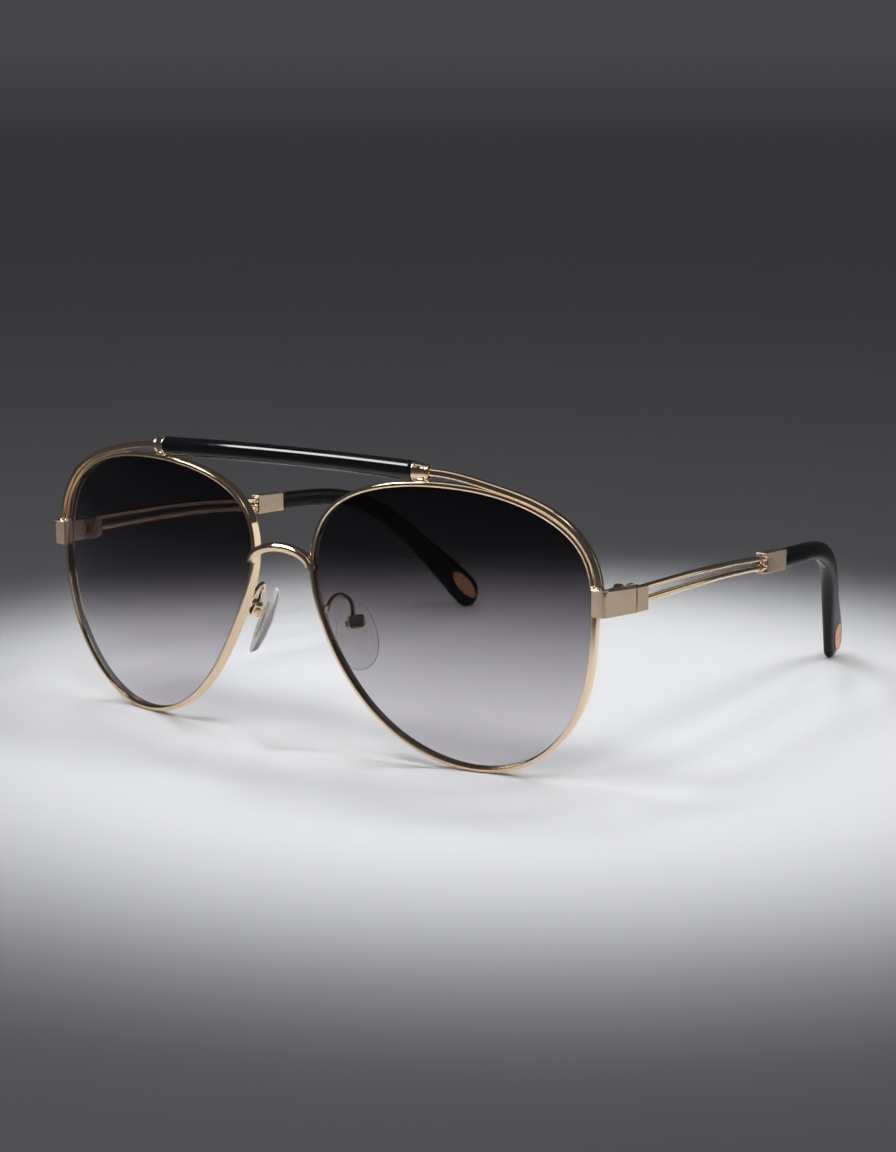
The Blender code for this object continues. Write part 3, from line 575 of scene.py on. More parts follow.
class Finish:
    """A material whose node tree is built a node at a time, in the part's own coordinates."""

    def __init__(self, name):
        self.material = bpy.data.materials.new(name)
        self.material.use_nodes = True
        self.tree = self.material.node_tree
        self.shader = self.tree.nodes["Principled BSDF"]
        self.place = self.node("ShaderNodeTexCoord").outputs["Object"]

    def node(self, kind, **settings):
        made = self.tree.nodes.new(kind)
        for key, value in settings.items():
            setattr(made, key, value)
        return made

    def feed(self, target, source):
        if isinstance(source, bpy.types.NodeSocket):
            self.tree.links.new(source, target)
        else:
            target.default_value = source

    def set(self, **values):
        """Feeds the shader's inputs; base_color stands for Base Color."""
        for key, value in values.items():
            self.feed(self.shader.inputs[key.replace("_", " ").title().replace("Ior", "IOR")], value)

    def noise(self, scale, stretch=(1, 1, 1), detail=3.0):
        mapping = self.node("ShaderNodeMapping")
        self.feed(mapping.inputs["Vector"], self.place)
        self.feed(mapping.inputs["Scale"], stretch)
        texture = self.node("ShaderNodeTexNoise")
        self.feed(texture.inputs["Vector"], mapping.outputs["Vector"])
        self.feed(texture.inputs["Scale"], scale)
        self.feed(texture.inputs["Detail"], detail)
        return texture.outputs["Fac"]

    def spread(self, value, low=0.0, high=1.0, start=0.3, end=0.7):
        """A value between start and end, mapped to between low and high."""
        mapped = self.node("ShaderNodeMapRange")
        sources = {"Value": value, "From Min": start, "From Max": end, "To Min": low, "To Max": high}
        for key, source in sources.items():
            self.feed(mapped.inputs[key], source)
        return mapped.outputs["Result"]

    def mix(self, factor, first, second):
        mixer = self.node("ShaderNodeMix", data_type="RGBA")
        self.feed(mixer.inputs["Factor"], factor)
        self.feed(mixer.inputs[6], first)
        self.feed(mixer.inputs[7], second)
        return mixer.outputs[2]

    def edges(self, low, high):
        """0 on faces and hollows and 1 on outside edges."""
        return self.spread(self.node("ShaderNodeNewGeometry").outputs["Pointiness"], 0.0, 1.0, low, high)

    def calculate(self, operation, *values):
        node = self.node("ShaderNodeMath", operation=operation)
        for target, value in zip(node.inputs, values):
            self.feed(target, value)
        return node.outputs[0]

    def where_level(self, value, level_value):
        """The value, or the other value on faces that look straight up or down."""
        split = self.node("ShaderNodeSeparateXYZ")
        self.feed(split.inputs[0], self.node("ShaderNodeNewGeometry").outputs["Normal"])
        steep = self.calculate("ABSOLUTE", split.outputs["Z"])
        mixer = self.node("ShaderNodeMix", data_type="FLOAT")
        self.feed(mixer.inputs["Factor"], self.spread(steep, start=0.8, end=0.97))
        self.feed(mixer.inputs[2], value)
        self.feed(mixer.inputs[3], level_value)
        return mixer.outputs[0]

    def grazing(self):
        """0 where a surface is seen square on, rising to 1 where it is seen edge on."""
        return self.node("ShaderNodeLayerWeight").outputs["Facing"]

    def bump(self, *layers):
        """Bumps laid over each other, each a (height, depth in millimetres)."""
        normal = None
        for height, depth in layers:
            bump = self.node("ShaderNodeBump")
            self.feed(bump.inputs["Height"], height)
            self.feed(bump.inputs["Distance"], depth * MM)
            self.feed(bump.inputs["Strength"], 1.0)
            if normal:
                self.feed(bump.inputs["Normal"], normal)
            normal = bump.outputs["Normal"]
        self.feed(self.shader.inputs["Normal"], normal)


def colour(red, green, blue):
    return (red, green, blue, 1.0)


def set_stops(ramp, stops):
    """Gives a colour ramp, which starts with two stops, its (place, colour) stops."""
    elements = ramp.color_ramp.elements
    for number, (place, tone) in enumerate(stops):
        stop = elements[number] if number < 2 else elements.new(place)
        stop.position = place
        stop.color = tone


def polished_gold():
    """Plated champagne gold, mirror-bright, with faint handling haze and a slight warm cast in places."""
    look = Finish("gold_plate")
    haze = look.noise(160.0, detail=5.0)
    patches = look.spread(look.noise(45.0))
    tone = look.mix(patches, colour(0.95, 0.755, 0.52), colour(0.92, 0.70, 0.455))
    look.set(
        metallic=1.0,
        # The base colour is paler on outside edges.
        base_color=look.mix(look.edges(0.52, 0.6), tone, colour(0.98, 0.81, 0.60)),
        roughness=look.spread(haze, 0.04, 0.08),
    )
    look.bump((look.noise(1400.0, detail=2.0), 0.0015), (look.noise(200.0, detail=2.0), 0.006))
    return look.material


def satin_gold(name, stretch, painted_shade):
    """The same plating, brushed: fine grooves run along the axis that the stretch leaves short. The last
    argument scales both tones; below 1 it paints shade, giving a darker copy of the same plating.
    """
    look = Finish(name)
    grain = look.noise(900.0, stretch, detail=4.0)
    light = colour(*(painted_shade * part for part in (0.90, 0.705, 0.485)))
    dark = colour(*(painted_shade * part for part in (0.82, 0.63, 0.42)))
    tone = look.mix(look.spread(grain), light, dark)
    paler_edges = look.edges(0.51, 0.58)
    look.set(
        metallic=1.0,
        # The base colour is paler on outside edges.
        base_color=look.mix(paler_edges, tone, colour(0.97, 0.80, 0.58)),
        roughness=look.where_level(look.spread(look.noise(120.0, detail=4.0), 0.4, 0.48), 0.09),
    )
    look.bump((grain, 0.010))
    return look.material


def screw_gold():
    """Machined gold plate, a little duller, with turning marks."""
    look = Finish("machined_gold")
    marks = look.noise(2500.0, (1.0, 1.0, 3.0), detail=2.0)
    look.set(
        metallic=1.0,
        base_color=look.mix(look.spread(marks), colour(0.86, 0.66, 0.42), colour(0.76, 0.55, 0.33)),
        roughness=look.spread(marks, 0.16, 0.30),
    )
    look.bump((marks, 0.006))
    return look.material


def black_acetate(name, roughness, gloss):
    """Polished black acetate: faint cloudiness deep down, fine polishing marks and soft handling haze."""
    look = Finish(name)
    cloud = look.spread(look.noise(90.0, (0.3, 1.0, 1.0), detail=5.0))
    haze = look.noise(220.0, detail=6.0)
    look.set(
        base_color=look.mix(cloud, colour(0.0035, 0.0035, 0.004), colour(0.010, 0.010, 0.0115)),
        roughness=look.spread(haze, roughness, roughness * 1.9),
        ior=gloss,
    )
    polish = look.noise(1800.0, (0.15, 1.0, 1.0), detail=2.0)
    look.bump((polish, 0.0012), (look.noise(70.0, detail=2.0), 0.012))
    return look.material


def gradient_lens():
    """Tinted from smoke at the top to nearly clear below; each of its two faces holds half the tint."""
    look = Finish("smoke_gradient")
    height = look.node("ShaderNodeSeparateXYZ")
    look.feed(height.inputs[0], look.place)
    top = 2 * LENS_CENTRE_Z * MM
    share = look.spread(height.outputs["Z"], 0.0, 1.0, 0.0, top)
    wander = look.spread(look.noise(30.0, detail=1.0), -0.006, 0.006)
    ramp = look.node("ShaderNodeValToRGB")
    ramp.color_ramp.interpolation = "B_SPLINE"
    stops = []
    for place, through in LENS_TONES:
        half = math.sqrt(through)
        warm = 0.945 + 0.055 * through
        stops.append((place, colour(half, half * warm, half)))
    set_stops(ramp, stops)
    look.feed(ramp.inputs["Fac"], look.calculate("ADD", share, wander))
    clear = look.node("ShaderNodeBsdfTransparent")
    look.feed(clear.inputs["Color"], ramp.outputs["Color"])
    gloss = look.node("ShaderNodeBsdfGlossy")
    look.feed(gloss.inputs["Color"], colour(0.93, 0.93, 1.0))
    look.feed(gloss.inputs["Roughness"], look.spread(look.noise(60.0, detail=6.0), 0.0, 0.03))
    fresnel = look.node("ShaderNodeFresnel")
    look.feed(fresnel.inputs["IOR"], 1.38)
    outside = look.calculate("SUBTRACT", 1.0, look.node("ShaderNodeNewGeometry").outputs["Backfacing"])
    mixer = look.node("ShaderNodeMixShader")
    look.feed(mixer.inputs[0], look.calculate("MULTIPLY", fresnel.outputs[0], outside))
    look.feed(mixer.inputs[1], clear.outputs[0])
    look.feed(mixer.inputs[2], gloss.outputs[0])
    output = look.tree.nodes["Material Output"]
    look.feed(output.inputs["Surface"], mixer.outputs[0])
    look.tree.nodes.remove(look.shader)
    return look.material


def clear_silicone():
    """Soft clear silicone with a slightly rippled, faintly milky skin."""
    look = Finish("clear_silicone_soft")
    ripple = look.noise(700.0, detail=2.0)
    milk = look.spread(ripple)
    look.set(
        base_color=look.mix(milk, colour(0.97, 0.97, 0.96), colour(0.90, 0.905, 0.89)),
        roughness=look.spread(look.grazing(), 0.05, 0.45, 0.45, 0.75),
        ior=1.07,
        transmission_weight=look.spread(look.grazing(), 0.95, 0.4, 0.45, 0.75),
    )
    look.bump((ripple, 0.03))
    return look.material


def clear_insert():
    """The pad's stiff core: clear plastic gone slightly amber, with a pebbled face."""
    look = Finish("amber_core")
    pebble = look.noise(1100.0, detail=1.0)
    amber = look.spread(pebble)
    look.set(
        base_color=look.mix(amber, colour(0.99, 0.95, 0.78), colour(0.98, 0.84, 0.48)),
        roughness=look.spread(pebble, 0.25, 0.5),
        ior=1.2,
        transmission_weight=0.6,
        alpha=look.spread(look.grazing(), 0.0, 0.8, 0.55, 0.9),
    )
    look.bump((pebble, 0.05))
    return look.material


def copper_oval():
    """Copper-toned plate, finely brushed."""
    look = Finish("copper_plate")
    grain = look.noise(1500.0, (1.0, 0.06, 1.0), detail=3.0)
    look.set(
        metallic=1.0,
        base_color=look.mix(look.spread(grain), colour(0.82, 0.43, 0.23), colour(0.62, 0.29, 0.15)),
        roughness=look.spread(grain, 0.18, 0.32),
    )
    look.bump((grain, 0.006))
    return look.material


# Rims and lenses

OUTLINE = spline(LENS_OUTLINE, closed=True)
LENS_CENTRE_Z = RIM_WALL - OUTLINE[:, 1].min()
LENS_AXIS = unit(np.array([-math.tan(FACE_WRAP), 1.0, math.tan(LENS_TILT)]))


def on_lens(across, up):
    """Where the rim's front plane, curved like the lens, lies at a place in the lens outline."""
    sag = (across**2 + up**2) / (2 * LENS_BASE_RADIUS)
    y = sag + across * math.tan(FACE_WRAP) - up * math.tan(LENS_TILT)
    return at(across + LENS_CENTRE_X, y, up + LENS_CENTRE_Z)


def loop_frames(path, loop):
    """The directions away from the lens's middle, square to the path."""
    outward = unit(np.cross(tangents(path, loop), LENS_AXIS))
    middle = np.array([LENS_CENTRE_X, 0.0, LENS_CENTRE_Z])
    return outward * np.sign(((path - middle) * outward).sum(-1, keepdims=True))


def along_rim(path, outward, profile):
    """Rings of (out from the inner edge, back from the front) points round the rim."""
    profile = np.asarray(profile, float)
    return path[:, None] + profile[:, :1] * outward[:, None] + profile[:, 1:] * LENS_AXIS


def rim_path(count, bite=0.0):
    """The rim's front inner edge, from the top of the end piece round to its underside."""
    points = on_lens(*OUTLINE[:-1].T)
    top, bottom = BLOCK_TOP - bite, BLOCK_BOTTOM + bite
    above = (points[:, 0] > LENS_CENTRE_X) & (points[:, 2] > top)
    points = np.roll(points, -np.flatnonzero(above)[0], axis=0)
    beside = (points[:, 0] > LENS_CENTRE_X) & (points[:, 2] > bottom) & (points[:, 2] < top)
    return even(points[~beside], count)


def rim_profile():
    """A bevel beside the lens, a front that falls away like the lens's curve, and the groove inside."""
    depth, half = LENS_GROOVE
    middle = RIM_DEPTH / 2
    back = [(RIM_WALL, RIM_DEPTH), (0, RIM_DEPTH)]
    groove = [(0, middle + half), (depth, middle), (0, middle - half)]
    return rounded(RIM_FACE + back + groove, FACE_ROUNDING + RIM_BACK_ROUNDING + [0, 0, 0])


def make_rim(side):
    path = rim_path(420, BITE)
    fine("rim", side, skin(along_rim(path, loop_frames(path, False), rim_profile())), "polished")


def make_lens(side):
    outline = OUTLINE[:-1:4]
    path = on_lens(*outline.T)
    back = LENS_SET_BACK + LENS_THICKNESS
    rim = [(-LENS_EDGE_GAP, LENS_SET_BACK), (LENS_BEVEL, RIM_DEPTH / 2), (-LENS_EDGE_GAP, back)]
    edge = along_rim(path, loop_frames(path, True), rim)
    shares = np.linspace(0.01, 0.985, 24)
    near = [on_lens(*(outline * share).T) + LENS_SET_BACK * LENS_AXIS for share in shares]
    far = [on_lens(*(outline * share).T) + back * LENS_AXIS for share in shares[::-1]]
    fine("lens", side, skin([*near, edge[:, 0], edge[:, 1], edge[:, 2], *far]), "lens")


# Brow bar, collars and brow wires


def bar_points(x):
    share = (x / BAR_HALF) ** 2
    y = BAR_CENTRE[0] + (BAR_END[0] - BAR_CENTRE[0]) * share
    z = BAR_CENTRE[1] + (BAR_END[1] - BAR_CENTRE[1]) * share
    return at(x, y, z)


def make_brow_bar():
    """A squared oval rod, curved a little, whose ends are eased and slant to meet the collars."""
    ends = BAR_EASE * np.array([0, 1, 3, 7]) / 7
    half = BAR_HALF - BAR_END_GAP
    x = np.r_[-half + ends, np.linspace(1 - half, half - 1, 90), half - ends[::-1]]
    path = bar_points(x)
    scale = 1 - BAR_EASE_SHARE * np.clip(1 - (half - np.abs(x)) / BAR_EASE, 0, 1) ** 2
    profiles = oval(BAR_HEIGHT, BAR_DEPTH, 56, power=BAR_POWER)[None] * scale[:, None, None]
    vertices, faces = sweep(path, profiles, UP)
    share = np.clip((np.abs(vertices[:, 0]) - half + BAR_SLANT_REACH) / BAR_SLANT_REACH, 0, 1)
    vertices[:, 0] += np.sign(vertices[:, 0]) * BAR_SLANT * (BAR_END[0] - vertices[:, 1]) * share
    piece("fine_brow_bar", (vertices, faces), 1, "bar", "front", ["brow_bar"])


def collar_axis():
    """Where the bar ends, and the way the collar leads on from it."""
    ends = bar_points(np.array([BAR_HALF * 29 / 30, BAR_HALF]))
    along = unit(ends[1] - ends[0])
    return ends[1], unit(along + (0.0, COLLAR_TURN, 0.0))


def spline_profile(points):
    """The outline of a turned piece, with all but its first point joined by a fine smooth line."""
    line = [tuple(point) for point in points[:2]]
    return line + [tuple(point) for point in spline(points[1:], samples=4)[1:]]


def make_collar(side):
    """A turned cap: a rolled lip against the bar, a tapered body and a hollow end for the wire."""
    start, axis = collar_axis()
    radius = BAR_HEIGHT / 2
    outside = [(radius + out, along) for out, along in COLLAR_LIP + COLLAR_BODY + COLLAR_FOOT]
    hollow = [(radius + out, along) for out, along in COLLAR_HOLLOW]
    profile = spline_profile([(0, 0), *outside]) + hollow + [(0, COLLAR_HOLLOW_FLOOR)]
    vertices, faces = turned(profile, start, axis, squash=BAR_DEPTH / BAR_HEIGHT, sides=64)
    vertices[:, 0] += (BAR_SLANT - COLLAR_TURN) * (start[1] - vertices[:, 1])
    x, y, z = COLLAR_SEAT
    seat = solid_block(box(start[0] + np.array(x), start[1] + np.array(y), z), COLLAR_SEAT_BEVEL)
    fine("brow_collar", side, join((vertices, faces), seat), "polished")


def brow_wire_path(count):
    """From the collar over the top of the rim and down beside it to the top of the end piece."""
    start, axis = collar_axis()
    rims = rim_path(240)
    outward = loop_frames(rims, False)
    beside = rims + WIRE_OFFSET * outward + WIRE_FORWARD * LENS_AXIS
    beside = beside[rims[:, 0] > LENS_CENTRE_X + WIRE_MEETS_RIM]
    beside = beside[beside[:, 2] > LENS_CENTRE_Z]
    beside = beside[beside[:, 2] > BLOCK_TOP + WIRE_ENDS_ABOVE_BLOCK]
    foot = np.array([beside[0][0], beside[0][1], BLOCK_TOP - BITE])
    leave = start + axis * (COLLAR_LENGTH - WIRE_SEAT)
    return even(spline([leave, leave + WIRE_LEAD * axis, *beside[::-1][::12], foot]), count)


def make_brow_wire(side):
    """A flat wire with bevelled edges, which catch the light on both sides of its darker face."""
    path = brow_wire_path(220)
    front = [(across, back - WIRE_DEPTH / 2) for across, back in WIRE_FACE]
    behind = [(across, -back) for across, back in front[::-1]]
    profile = rounded(front + behind, FACE_ROUNDING + FACE_ROUNDING[::-1])
    fine("brow_wire", side, sweep(path, profile, loop_frames(path, False)), "polished")


# Bridge


def make_bridge():
    """A flat-faced arch whose feet lap over the fronts of the rims."""
    angles = np.linspace(math.pi, 0, 81)
    z = BRIDGE_FOOT_Z + BRIDGE_RISE * np.sin(angles)
    path = at(BRIDGE_HALF * np.cos(angles), BRIDGE_Y, z)
    h, d = BRIDGE_HEIGHT / 2, BRIDGE_DEPTH / 2
    behind = [(BRIDGE_LOWER_BEVEL - d, -h), (d, -h), (d, h)]
    face = [(back - d, h - down) for back, down in BRIDGE_FACE]
    profile = rounded(behind + face, BRIDGE_BACK_ROUNDING + BRIDGE_FACE_ROUNDING, steps=8)
    bar = sweep(path, profile, (0, 1, 0))
    rims = rim_path(180)
    start, end = RIM_CUT_ACROSS
    front, back = RIM_CUT_BACK
    cutter = [(start, front), (end, front), (end, back), (start, back)]
    vertices, faces = skin(along_rim(rims, loop_frames(rims, False), cutter))
    cuts = [(vertices, faces), (vertices * (-1, 1, 1), faces)]
    piece("fine_bridge", bar, 1, "polished", "front", ["bridge"], cuts=cuts)


# End pieces and hinges


def block_heights(outline):
    """The block's underside and top, which draw together a little towards the temple."""
    back = np.array([y for _, y in outline]) - BLOCK_FRONT
    return BLOCK_BOTTOM - BLOCK_RISE * back, BLOCK_TOP - BLOCK_FALL * back


def make_end_piece(side):
    """The block that closes the rim, with its notch and screw hole, and the solder on top of it."""
    along = np.array([-NOTCH_OUT[1], NOTCH_OUT[0], 0.0])
    low, high = NOTCH_HEIGHTS
    corners = [-NOTCH_HALF_WIDTH * along + (0, 0, high), NOTCH_HALF_WIDTH * along + (0, 0, high), (0, 0, low)]
    notch = skin([NOTCH_PLACE + np.array(corners) + reach * NOTCH_OUT for reach in NOTCH_REACH])
    top = 1 + LOCK_BORE_DEPTH
    bore_profile = [(0, 0), (LOCK_BORE_RADIUS, 0), (LOCK_BORE_RADIUS, top), (0, top)]
    bore = turned(bore_profile, LOCK_SCREW_PLACE - UP, UP, sides=32)
    block = prism(END_PIECE_OUTLINE, *block_heights(END_PIECE_OUTLINE))
    fine("end_piece", side, block, "satin", bevel=BLOCK_BEVEL, cuts=[notch, bore])
    solder = [solid_block(box(*LEDGE), LEDGE_BEVEL)]
    for end, (offset, size) in ((rim_path(240)[0], RIM_BEAD), (brow_wire_path(60)[-1], WIRE_BEAD)):
        solder.append(bead(np.array([end[0], end[1], BLOCK_TOP]) + offset, size))
    piece(f"solder_{side}", join(*solder), SIDES[side], "polished", "front")


def slot_cut(centre, axis, along):
    """The slot in a screw's head, centred on the head's face."""
    axis, along = unit(np.asarray(axis, float)), unit(np.asarray(along, float))
    across = np.cross(axis, along)
    length, width, depth = SLOT
    signs = [(-1, -1), (1, -1), (1, 1), (-1, 1)]
    ring = np.array([a * length / 2 * along + b * width / 2 * across for a, b in signs])
    return skin([centre + ring - depth * axis, centre + ring + depth * axis])


def make_lock_screw(side):
    foot = LOCK_SCREW_PLACE + (0, 0, LOCK_SCREW_SINK)
    screw = turned(LOCK_SCREW_PROFILE, foot, UP, sides=32)
    fine("rim_lock_screw", side, screw, "screw", cuts=[slot_cut(foot, UP, (1, 1, 0))])


def knuckle(low, high, towards):
    """A knuckle round the hinge axis, drawn out to meet a leaf on one side of it."""
    x, y = HINGE_AXIS
    start = 0 if towards < 0 else math.pi
    arc = [start + math.pi * k / 24 for k in range(25)]
    outline = [(x + KNUCKLE_RADIUS * math.cos(a), y + KNUCKLE_RADIUS * math.sin(a)) for a in arc]
    leaf = [(x + out, y + towards * KNUCKLE_REACH) for out in KNUCKLE_LEAF]
    outline += leaf if towards < 0 else leaf[::-1]
    return prism(outline, low, high)


def hinge_part(leaf, *knuckles):
    """A leaf the height of the hinge, joined to its knuckles, all with softened edges."""
    x = HINGE_AXIS[0] + np.array(leaf[0])
    plate = box(x, leaf[1], (KNUCKLE_HEIGHTS[0] - HINGE_GAP, KNUCKLE_HEIGHTS[-1] + HINGE_GAP))
    return join(*[solid_block(part, HINGE_BEVEL) for part in (plate, *knuckles)])


def make_hinge(side):
    """Two knuckles on the front, one between them on the temple, and the screw through all three."""
    low, mid_low, mid_high, high = KNUCKLE_HEIGHTS
    outer = knuckle(low, mid_low, -1), knuckle(mid_high, high, -1)
    fine("front_hinge", side, hinge_part(FRONT_LEAF, *outer), "satin")
    middle = knuckle(mid_low + HINGE_GAP, mid_high - HINGE_GAP, 1)
    fine("temple_hinge", side, hinge_part(TEMPLE_LEAF, middle), "satin", f"temple_{side}")
    seat = high + HINGE_GAP
    profile = [(0, low), (SCREW_RADIUS - SCREW_CHAMFER, low), (SCREW_RADIUS, low + SCREW_CHAMFER)]
    profile += [(SCREW_RADIUS, seat), *((radius, seat + rise) for radius, rise in SCREW_HEAD)]
    slot = slot_cut(np.array([*HINGE_AXIS, profile[-1][1]]), UP, (1, 0.6, 0))
    fine("hinge_screw", side, turned(profile, (*HINGE_AXIS, 0.0), UP), "screw", cuts=[slot])


def make_temple_block(side):
    block = prism(TEMPLE_BLOCK_OUTLINE, *block_heights(TEMPLE_BLOCK_OUTLINE))
    fine("temple_block", side, block, "satin", f"temple_{side}", bevel=BLOCK_BEVEL)


# Temples


def make_temple_wires(side):
    for which, knots in (("upper", UPPER_WIRE), ("lower", LOWER_WIRE)):
        line = spline(knots)
        path = even(np.vstack([line[0] - (0, BITE, 0), line, line[-1] + (0, 2 * BITE, 0)]), 80)
        fine(f"temple_wire_{which}", side, rod(path, TEMPLE_WIRE_RADIUS), "polished", f"temple_{side}")


def make_ferrule(side):
    """A brushed block, cut to a hollow at the front with a socket round each wire."""
    (inner, outer), (front_y, back_y) = FERRULE
    outline = [(inner, front_y), (outer, front_y)]
    outline += [(outer - FERRULE_TAPER, back_y), (inner + FERRULE_TAPER, back_y)]
    low, high = ([front] * 2 + [back] * 2 for front, back in zip(FERRULE_FRONT_Z, FERRULE_BACK_Z))
    pocket = solid_block(box(*FERRULE_POCKET), POCKET_BEVEL)
    block = prism(outline, low, high)
    fine("temple_ferrule", side, block, "ferrule", f"temple_{side}", bevel=FERRULE_BEVEL, cuts=[pocket])
    profile = [(0, 0), *((TEMPLE_WIRE_RADIUS + out, back) for out, back in SOCKET), (0, SOCKET[-1][1])]
    sockets = []
    for knots in (UPPER_WIRE, LOWER_WIRE):
        x, _, z = knots[-1]
        sockets.append(turned(profile, (x, front_y - SOCKET_SHOWS, z), (0, 1, 0), sides=32))
    piece(f"ferrule_sockets_{side}", join(*sockets), SIDES[side], "polished", f"temple_{side}")


def tip_sections(count):
    """The tip's path, and its thickness and height there: a bar that swells to a round-ended paddle."""
    dense = even(spline(TIP_PATH), 2000)
    length = np.linalg.norm(np.diff(dense, axis=0), axis=1).sum()
    sizes = spline(np.array(TIP_SIZES) * (length, 1, 1))
    round_end = TIP_SIZES[-1][2] / 2
    body = np.linspace(0, length - round_end, count - TIP_END_RINGS)
    turns = np.linspace(0, 1, TIP_END_RINGS + 1)[1:] * TIP_END_TURN
    steps = np.r_[body, length - round_end * (1 - np.sin(turns))]
    path = np.column_stack([np.interp(steps, np.linspace(0, length, len(dense)), c) for c in dense.T])
    thick, high = (np.interp(steps, sizes[:, 0], sizes[:, k]) for k in (1, 2))
    left = np.clip((length - steps) / round_end, 0, 1)
    rounding = np.sqrt(1 - (1 - left) ** 2)
    start = 1 - TIP_EASE_SHARE * np.clip(1 - steps / TIP_EASE, 0, 1) ** 2
    thinning = TIP_END_THICKNESS + (1 - TIP_END_THICKNESS) * rounding
    return path, thick * thinning * start, high * rounding * start


def make_tip(side):
    path, thick, high = tip_sections(140)
    profiles = np.array([oval(t, h, 40, power=TIP_POWER) for t, h in zip(thick, high)])
    fine("temple_tip", side, sweep(path, profiles, (1, 0, 0)), "tip", f"temple_{side}")


def make_medallion(side):
    """A plain oval plate on each face of the paddle, with a raised border and a nearly flat middle."""
    dense = even(spline(TIP_PATH), 400)
    spot = len(dense) - 1 - int(MEDALLION_FROM_END / np.linalg.norm(dense[1] - dense[0]))
    forward = unit(dense[spot + 25] - dense[spot - 25])
    through = unit(np.array([1.0, 0.0, 0.0]) - forward[0] * forward)
    wide = np.cross(forward, through)
    c, s = circle(64)
    edge = MEDALLION[0] * np.outer(c, forward) + MEDALLION[1] * np.outer(s, wide)
    rows = [(share, MEDALLION_HALF_THICKNESS - depth) for share, depth in MEDALLION_FACE]
    rows += [(share, -height) for share, height in rows[::-1]]
    rings = [dense[spot] + share * edge + height * through for share, height in rows]
    fine("tip_medallion", side, skin(rings), "copper", f"temple_{side}")


# Nose pads


def pad_frame():
    """The pad's own directions: across it, out towards the rim, and up along it."""
    level_out = math.cos(PAD_LEAN)
    out = np.array([math.cos(PAD_SPLAY) * level_out, -math.sin(PAD_SPLAY) * level_out, math.sin(PAD_LEAN)])
    upright = unit(np.array([0.0, 0.0, 1.0]) - out[2] * out)
    level = np.cross(upright, out)
    across = math.cos(PAD_ROLL) * level + math.sin(PAD_ROLL) * upright
    up = math.cos(PAD_ROLL) * upright - math.sin(PAD_ROLL) * level
    return np.array([across, out, up])


def in_pad_frame(shape):
    vertices, faces = shape
    return np.asarray(vertices) @ pad_frame() + PAD_CENTRE, faces


def make_pad_arm(side):
    """A bent wire from a small plate on the back of the rim up, over and down to the pad's box."""
    end = np.array(ARM_END) @ pad_frame() + PAD_CENTRE
    knots = [ARM_ROOT, *(np.array(ARM_ROOT) + ARM_BENDS), end]
    arm = rod(even(spline(knots), 90), ARM_RADIUS, 20)
    plate = box(*(place + np.array(reach) for place, reach in zip(ARM_ROOT, ARM_PLATE)))
    fine("pad_arm", side, join(arm, solid_block(plate, ARM_PLATE_BEVEL)), "polished")


def make_pad_box(side):
    """A rounded box, open below and towards the pad, and the screw across it."""
    half = BOX_HALF_WIDTH
    inner = half - BOX_WALL
    outer = in_pad_frame(box((-half, half), BOX_OUT, BOX_UP))
    out, up = (BOX_OUT[0] - 1, BOX_OUT[1] - BOX_LID), (BOX_UP[0] - 1, BOX_UP[1] - BOX_ROOF)
    hollow = in_pad_frame(box((-inner, inner), out, up))
    fine("pad_box", side, solid_block(outer, BOX_BEVEL), "box", cuts=[hollow])
    half += PAD_SCREW_GAP
    profile = [(radius, -half - out) for radius, out in PAD_SCREW_HEAD]
    profile += [(PAD_SCREW_RADIUS, -half), (PAD_SCREW_RADIUS, half + PAD_SCREW_TAIL_START)]
    profile += [(radius, half + out) for radius, out in PAD_SCREW_TAIL]
    screw = turned(profile, (0.0, PIVOT[1], PIVOT[2]), (1, 0, 0), sides=32)
    slot = slot_cut(np.array([profile[0][1], PIVOT[1], PIVOT[2]]), (1, 0, 0), (0, 1, 0.4))
    fine("pad_screw", side, in_pad_frame(screw), "screw", cuts=[in_pad_frame(slot)])


def make_pad_insert(side):
    """The pad's stiff core: an oval plate with a moulded ring and the lug that the screw holds."""
    low = PAD_FACE + INSERT_GAP
    high = low + INSERT_THICKNESS
    c, s = circle(48)
    rows = [(0.02, low), (0.97, low), (1.0, low + INSERT_CHAMFER)]
    rows += [(1.0, high - INSERT_CHAMFER), (0.97, high), (0.02, high)]
    rings = [at(INSERT_HALF[0] * share * c, y, INSERT_HALF[1] * share * s) for share, y in rows]
    ring_path = at(RING_RADIUS * c, high, RING_RADIUS * s - RING_DROP)
    ring = sweep(ring_path, oval(RING_THICKNESS, RING_THICKNESS, 12), (0, 1, 0), loop=True)
    fine("pad_insert", side, in_pad_frame(join(skin(rings), ring)), "insert", f"pad_{side}")
    wide, tall = LUG_HALF
    lug = box((-wide, wide), (high - LUG_SINK, LUG_TOP), (PIVOT[2] - tall, PIVOT[2] + tall))
    piece(f"pad_lug_{side}", in_pad_frame(solid_block(lug, LUG_BEVEL)), SIDES[side], "screw", f"pad_{side}")


def make_nose_pad(side):
    """A soft drop, widest below its middle, flat where the core lies and domed towards the nose."""
    c, s = circle(96)
    x = PAD_WIDTH / 2 * c * (1 - PAD_DROP * s)
    z = PAD_LENGTH / 2 * s
    outline = spline_profile([(share, PAD_FACE - depth) for share, depth in PAD_SECTION])
    rings = [at(x * share, y, z * share) for share, y in outline]
    fine("nose_pad", side, in_pad_frame(skin(rings)), "silicone", f"pad_{side}")


# Studio


def floor_look():
    look = Finish("pale_table")
    mottle = look.noise(14.0, detail=5.0)
    look.set(
        base_color=look.mix(look.spread(mottle), colour(0.80, 0.81, 0.83), colour(0.78, 0.79, 0.81)),
        roughness=look.spread(mottle, 0.5, 0.6),
        specular_ior_level=0.0,
    )
    return look.material


